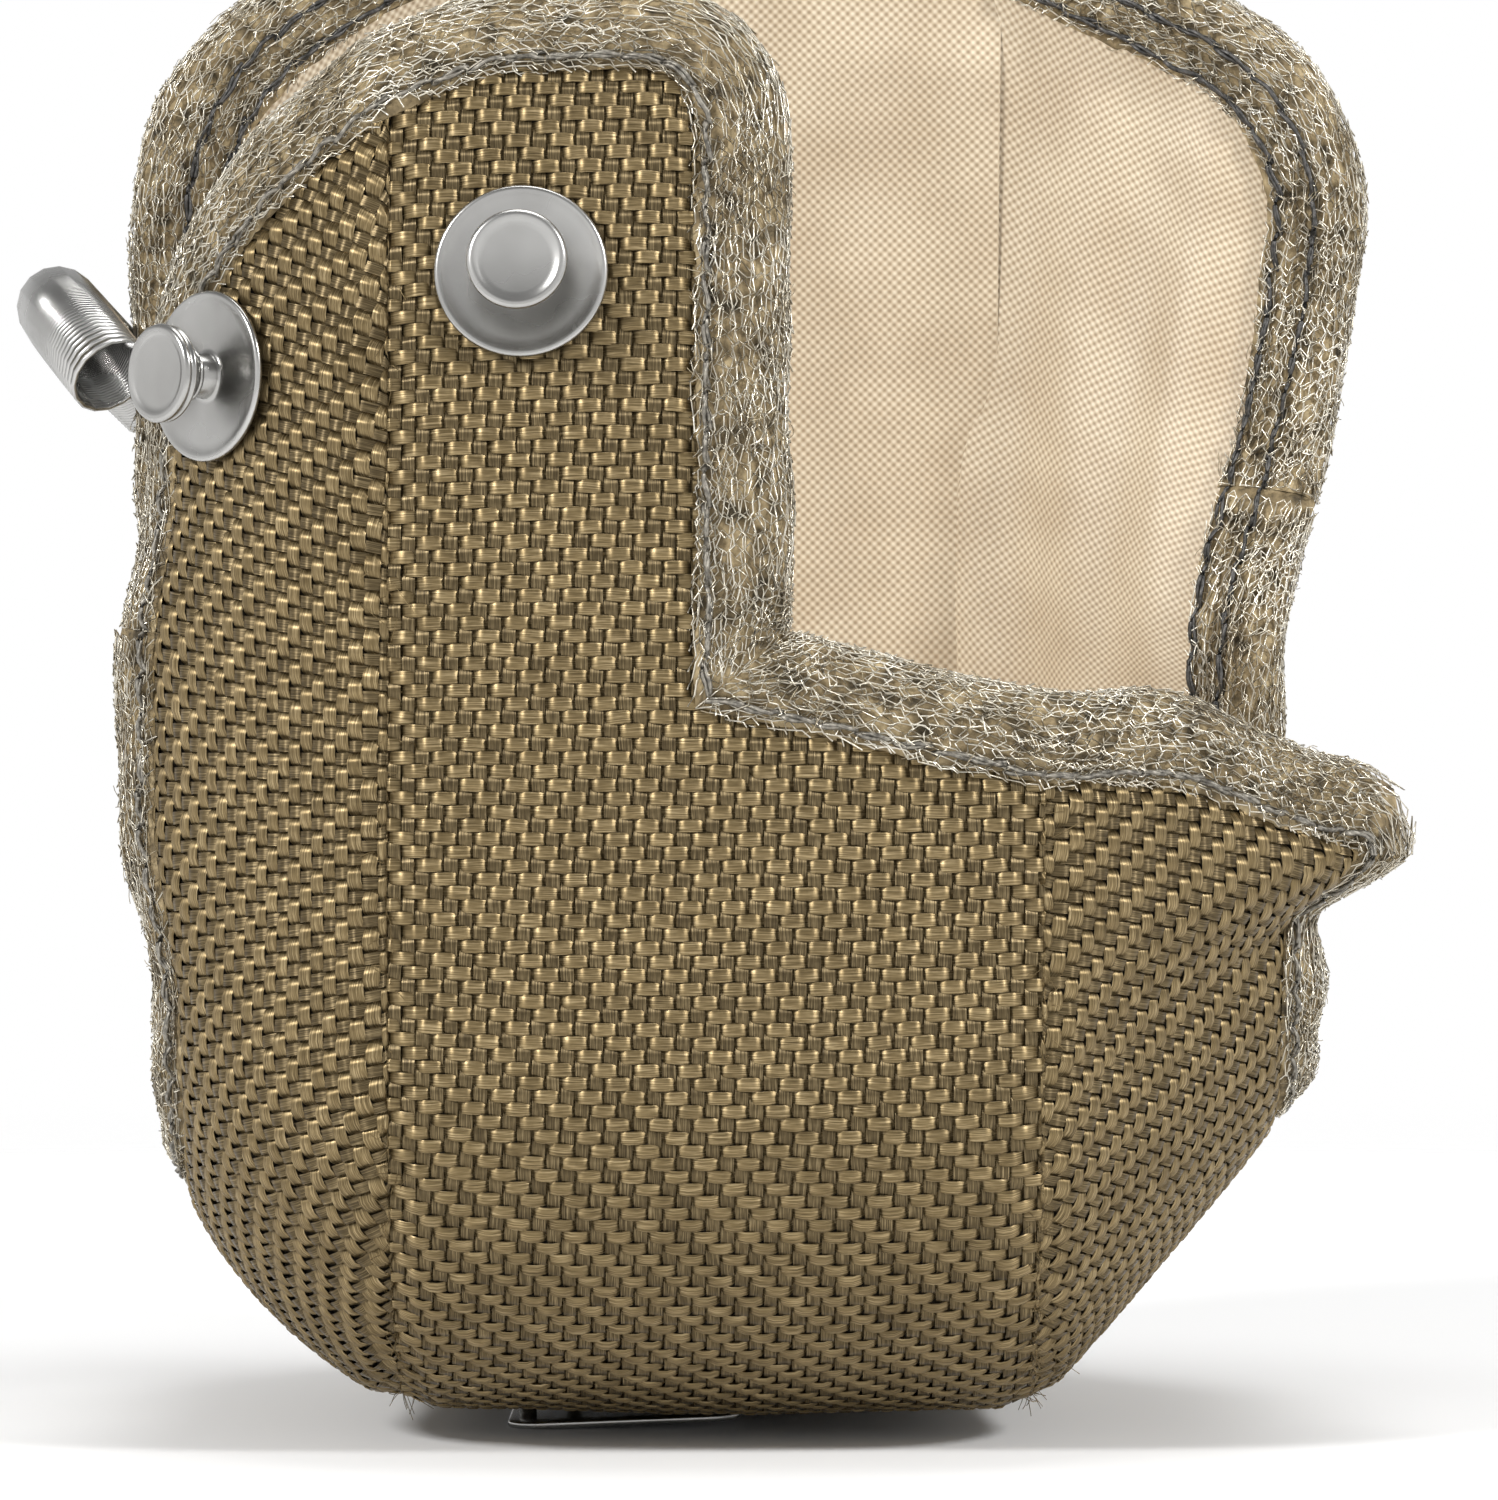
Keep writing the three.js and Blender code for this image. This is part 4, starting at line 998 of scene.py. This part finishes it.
def spring_path():
    """Axis of the spring between the two side capstans, then its close turns and its hooks."""
    up, back, start, start_pull, near = spring_end(CAPSTANS["b"], 1, SPRING_FRONT_STAND)
    far_up, far_back, end, end_pull, far = spring_end(CAPSTANS["d"], -1, SPRING_REAR_STAND)
    t = np.linspace(0, 1, 400)[:, None]
    u = 1 - t
    axis = start * u ** 3 + 3 * start_pull * t * u ** 2 + 3 * end_pull * t ** 2 * u + end * t ** 3
    coil = SPRING_RADIUS - SPRING_WIRE / 2
    length = np.concatenate([[0], np.cumsum(np.linalg.norm(np.diff(axis, axis=0), axis=1))])
    turns = round(length[-1] / SPRING_WIRE / TURN_SPACING)
    steps = turns * STEPS_PER_TURN + 1
    at = np.linspace(0, length[-1], steps)
    centre = np.stack([np.interp(at, length, axis[:, k]) for k in range(3)], -1)
    along = unit(np.gradient(centre, axis=0))
    share = (at / length[-1])[:, None]
    outward = up * (1 - share) + far_up * share
    radial = unit(outward - along * np.sum(outward * along, axis=1, keepdims=True))
    across = np.cross(along, radial)
    angle = (math.pi / 2 + np.linspace(0, turns * 2 * math.pi, steps))[:, None]
    helix = centre + coil * (radial * np.cos(angle) + across * np.sin(angle))
    way_in = unit(helix[1] - helix[0])
    way_out = unit(helix[-1] - helix[-2])
    return np.concatenate([
        near, joint(near[-1], back, helix[0], way_in), helix,
        joint(helix[-1], way_out, far[-1], -far_back), far[::-1],
    ])


points, quads = steady_tube(spring_path(), SPRING_WIRE / 2, 5)
spring = mesh_object("close_wound_spring", points, quads, STEEL)
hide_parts("closing_spring")


def plate():
    """The plate under the belly, with round corners and a soft edge."""
    corners = [(PLATE_LENGTH, 1), (0, 1), (0, -1), (PLATE_LENGTH, -1)]
    ring = []
    for i, (x, sign) in enumerate(corners):
        inner = PLATE_CORNER * (1 if x == 0 else -1)
        centre = np.array([x + inner, sign * (PLATE_DEPTH / 2 - PLATE_CORNER)])
        for angle in np.linspace(i * math.pi / 2, (i + 1) * math.pi / 2, 10):
            ring.append((centre, np.array([math.cos(angle), math.sin(angle)])))
    soft, half_soft = 0.25, 0.06
    lower = [(PLATE_CORNER - 0.5, 0), (soft, 0), (half_soft, half_soft), (0, soft)]
    levels = lower + [(inset, PLATE_THICKNESS - height) for inset, height in reversed(lower)]
    points = []
    for inset, height in levels:
        for centre, way in ring:
            flat = centre + way * (PLATE_CORNER - inset)
            points.append((flat[0], flat[1], height))
    points = np.array(points)
    cosine, sine = math.cos(PLATE_TILT), math.sin(PLATE_TILT)
    tilt = np.array([[cosine, 0, -sine], [0, 1, 0], [sine, 0, cosine]])
    points = points @ tilt.T + [PLATE_LEFT, 0, 0]
    quads = grid_faces(len(levels), len(ring), wrap=True)
    obj = mesh_object("bare_plate", points, quads, STEEL)
    count = len(ring)
    work = bmesh.new()
    work.from_mesh(obj.data)
    work.verts.ensure_lookup_table()
    work.faces.new([work.verts[k] for k in range(count)])
    work.faces.new([work.verts[len(work.verts) - 1 - k] for k in range(count)])
    bmesh.ops.recalc_face_normals(work, faces=work.faces)
    work.to_mesh(obj.data)
    work.free()
    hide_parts("belly_plate")


plate()
for i, (x, y) in enumerate(RIVET_PLACES):
    foot = (x - PLATE_LEFT) * math.tan(PLATE_TILT) + 0.05
    shank, head, seat = 1, 1.8, 5.4
    profile = [(0.001, foot), (shank - 0.15, foot), (shank, foot + 0.12), (shank, seat)]
    profile += [(head, seat + 0.1), (head, seat + 0.6), (0.001, seat + 0.8)]
    piece = lathe(f"rivet_{i + 1}_turned", profile, (np.array([x, y, 0.0]), np.array([0, 0, 1.0])), STEEL, 24)
    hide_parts(f"plate_rivet_{i + 1}")


def seam_fibres():
    """Stray fibres along the two seams."""
    s = random.uniform(FRONT_REACH, REAR_REACH, SEAM_HAIRS)
    seam = np.where(random.random(SEAM_HAIRS) < 0.5, -STRIP_LEFT, STRIP_RIGHT)
    u = seam + random.normal(0, 0.8, SEAM_HAIRS)
    kept = edge_distance(s, u) > 0.5
    s, u = s[kept], u[kept]
    count = len(s)
    t = np.linspace(0, 1, 5)[None, :, None]
    base = lift(s, u, relief(s, u) + TWILL_BASE)[:, None]
    up = normal(s, u)[:, None]
    way = unit(random.normal(0, 1, (count, 1, 3)) * 1.2 + up * 0.7)
    bend = random.normal(0, 0.5, (count, 1, 3))
    reach = SEAM_HAIR_LENGTH * random.uniform(0.4, 1, (count, 1, 1))
    paths = base + reach * (way * t + bend * t ** 2)
    points, quads = tubes(paths, SEAM_HAIR_RADIUS, 3)
    mesh_object("seam_fibres", points, quads, YARN)


seam_fibres()

# Stage, lights and camera, in metres. The floor thins out to the white of the world away from the part.
FADE_START, FADE_END = 0.16, 0.7
FLOOR_REACH = 3
floor_material, tree, shader = new_material("floor", 0.9)
shader.inputs["Base Color"].default_value = (0.87, 0.87, 0.87, 1)
place = tree.nodes.new("ShaderNodeTexCoord")
distance = tree.nodes.new("ShaderNodeVectorMath")
distance.operation = "LENGTH"
tree.links.new(place.outputs["Object"], distance.inputs[0])
fade = tree.nodes.new("ShaderNodeMapRange")
fade.interpolation_type = "SMOOTHSTEP"
fade.inputs["From Min"].default_value = FADE_START
fade.inputs["From Max"].default_value = FADE_END
tree.links.new(distance.outputs["Value"], fade.inputs["Value"])
clear = tree.nodes.new("ShaderNodeBsdfTransparent")
blend = tree.nodes.new("ShaderNodeMixShader")
tree.links.new(fade.outputs["Result"], blend.inputs["Fac"])
tree.links.new(shader.outputs["BSDF"], blend.inputs[1])
tree.links.new(clear.outputs["BSDF"], blend.inputs[2])
tree.links.new(blend.outputs["Shader"], tree.nodes["Material Output"].inputs["Surface"])
floor_mesh = bpy.data.meshes.new("floor")
corners = [(x * FLOOR_REACH, y * FLOOR_REACH, 0) for x, y in ((-1, -1), (1, -1), (1, 1), (-1, 1))]
floor_mesh.from_pydata(corners, [], [(0, 1, 2, 3)])
floor_mesh.materials.append(floor_material)
floor = bpy.data.objects.new("floor", floor_mesh)
bpy.context.scene.collection.objects.link(floor)

# The world is white at and below the horizon and dims towards the top.
world = bpy.data.worlds.new("studio")
bpy.context.scene.world = world
world.use_nodes = True
tree = world.node_tree
sky = tree.nodes.new("ShaderNodeTexCoord")
parts = tree.nodes.new("ShaderNodeSeparateXYZ")
tree.links.new(sky.outputs["Generated"], parts.inputs["Vector"])
level = tree.nodes.new("ShaderNodeMapRange")
level.interpolation_type = "SMOOTHSTEP"
level.inputs["From Min"].default_value = 0.12
level.inputs["From Max"].default_value = 0.6
level.inputs["To Min"].default_value = 1.0
level.inputs["To Max"].default_value = 0.3
tree.links.new(parts.outputs["Z"], level.inputs["Value"])
tree.links.new(level.outputs["Result"], tree.nodes["Background"].inputs["Strength"])
tree.nodes["Background"].inputs["Color"].default_value = (1, 1, 1, 1)


def lamp(name, place, power, width):
    """A square lamp that shines on the middle of the part."""
    data = bpy.data.lights.new(name, "AREA")
    data.energy = power
    data.size = width
    obj = bpy.data.objects.new(name, data)
    obj.location = place
    obj.rotation_euler = (Vector(LAMP_TARGET) - Vector(place)).to_track_quat("-Z", "Y").to_euler()
    bpy.context.scene.collection.objects.link(obj)


LAMP_TARGET = (0, 0, 0.09)
lamp("key_right", (1.1, -0.75, 0.95), 15, 0.25)
lamp("key_left", (-1.0, -0.8, 0.9), 17, 0.25)
lamp("top", (0.1, 0.1, 1.2), 7, 0.7)

camera = bpy.data.objects.new("camera", bpy.data.cameras.new("camera"))
camera.data.lens = CAMERA_LENS
camera.data.sensor_width = 36
camera.location = (SHIFT[0] * MM, -(HALF_DEPTH + CAMERA_DISTANCE) * MM, CAMERA_HEIGHT * MM)
camera.rotation_euler = (math.pi / 2, 0, 0)
camera.data.clip_start = 0.01
bpy.context.scene.collection.objects.link(camera)
bpy.context.scene.camera = camera
bpy.context.scene.view_settings.view_transform = "Standard"
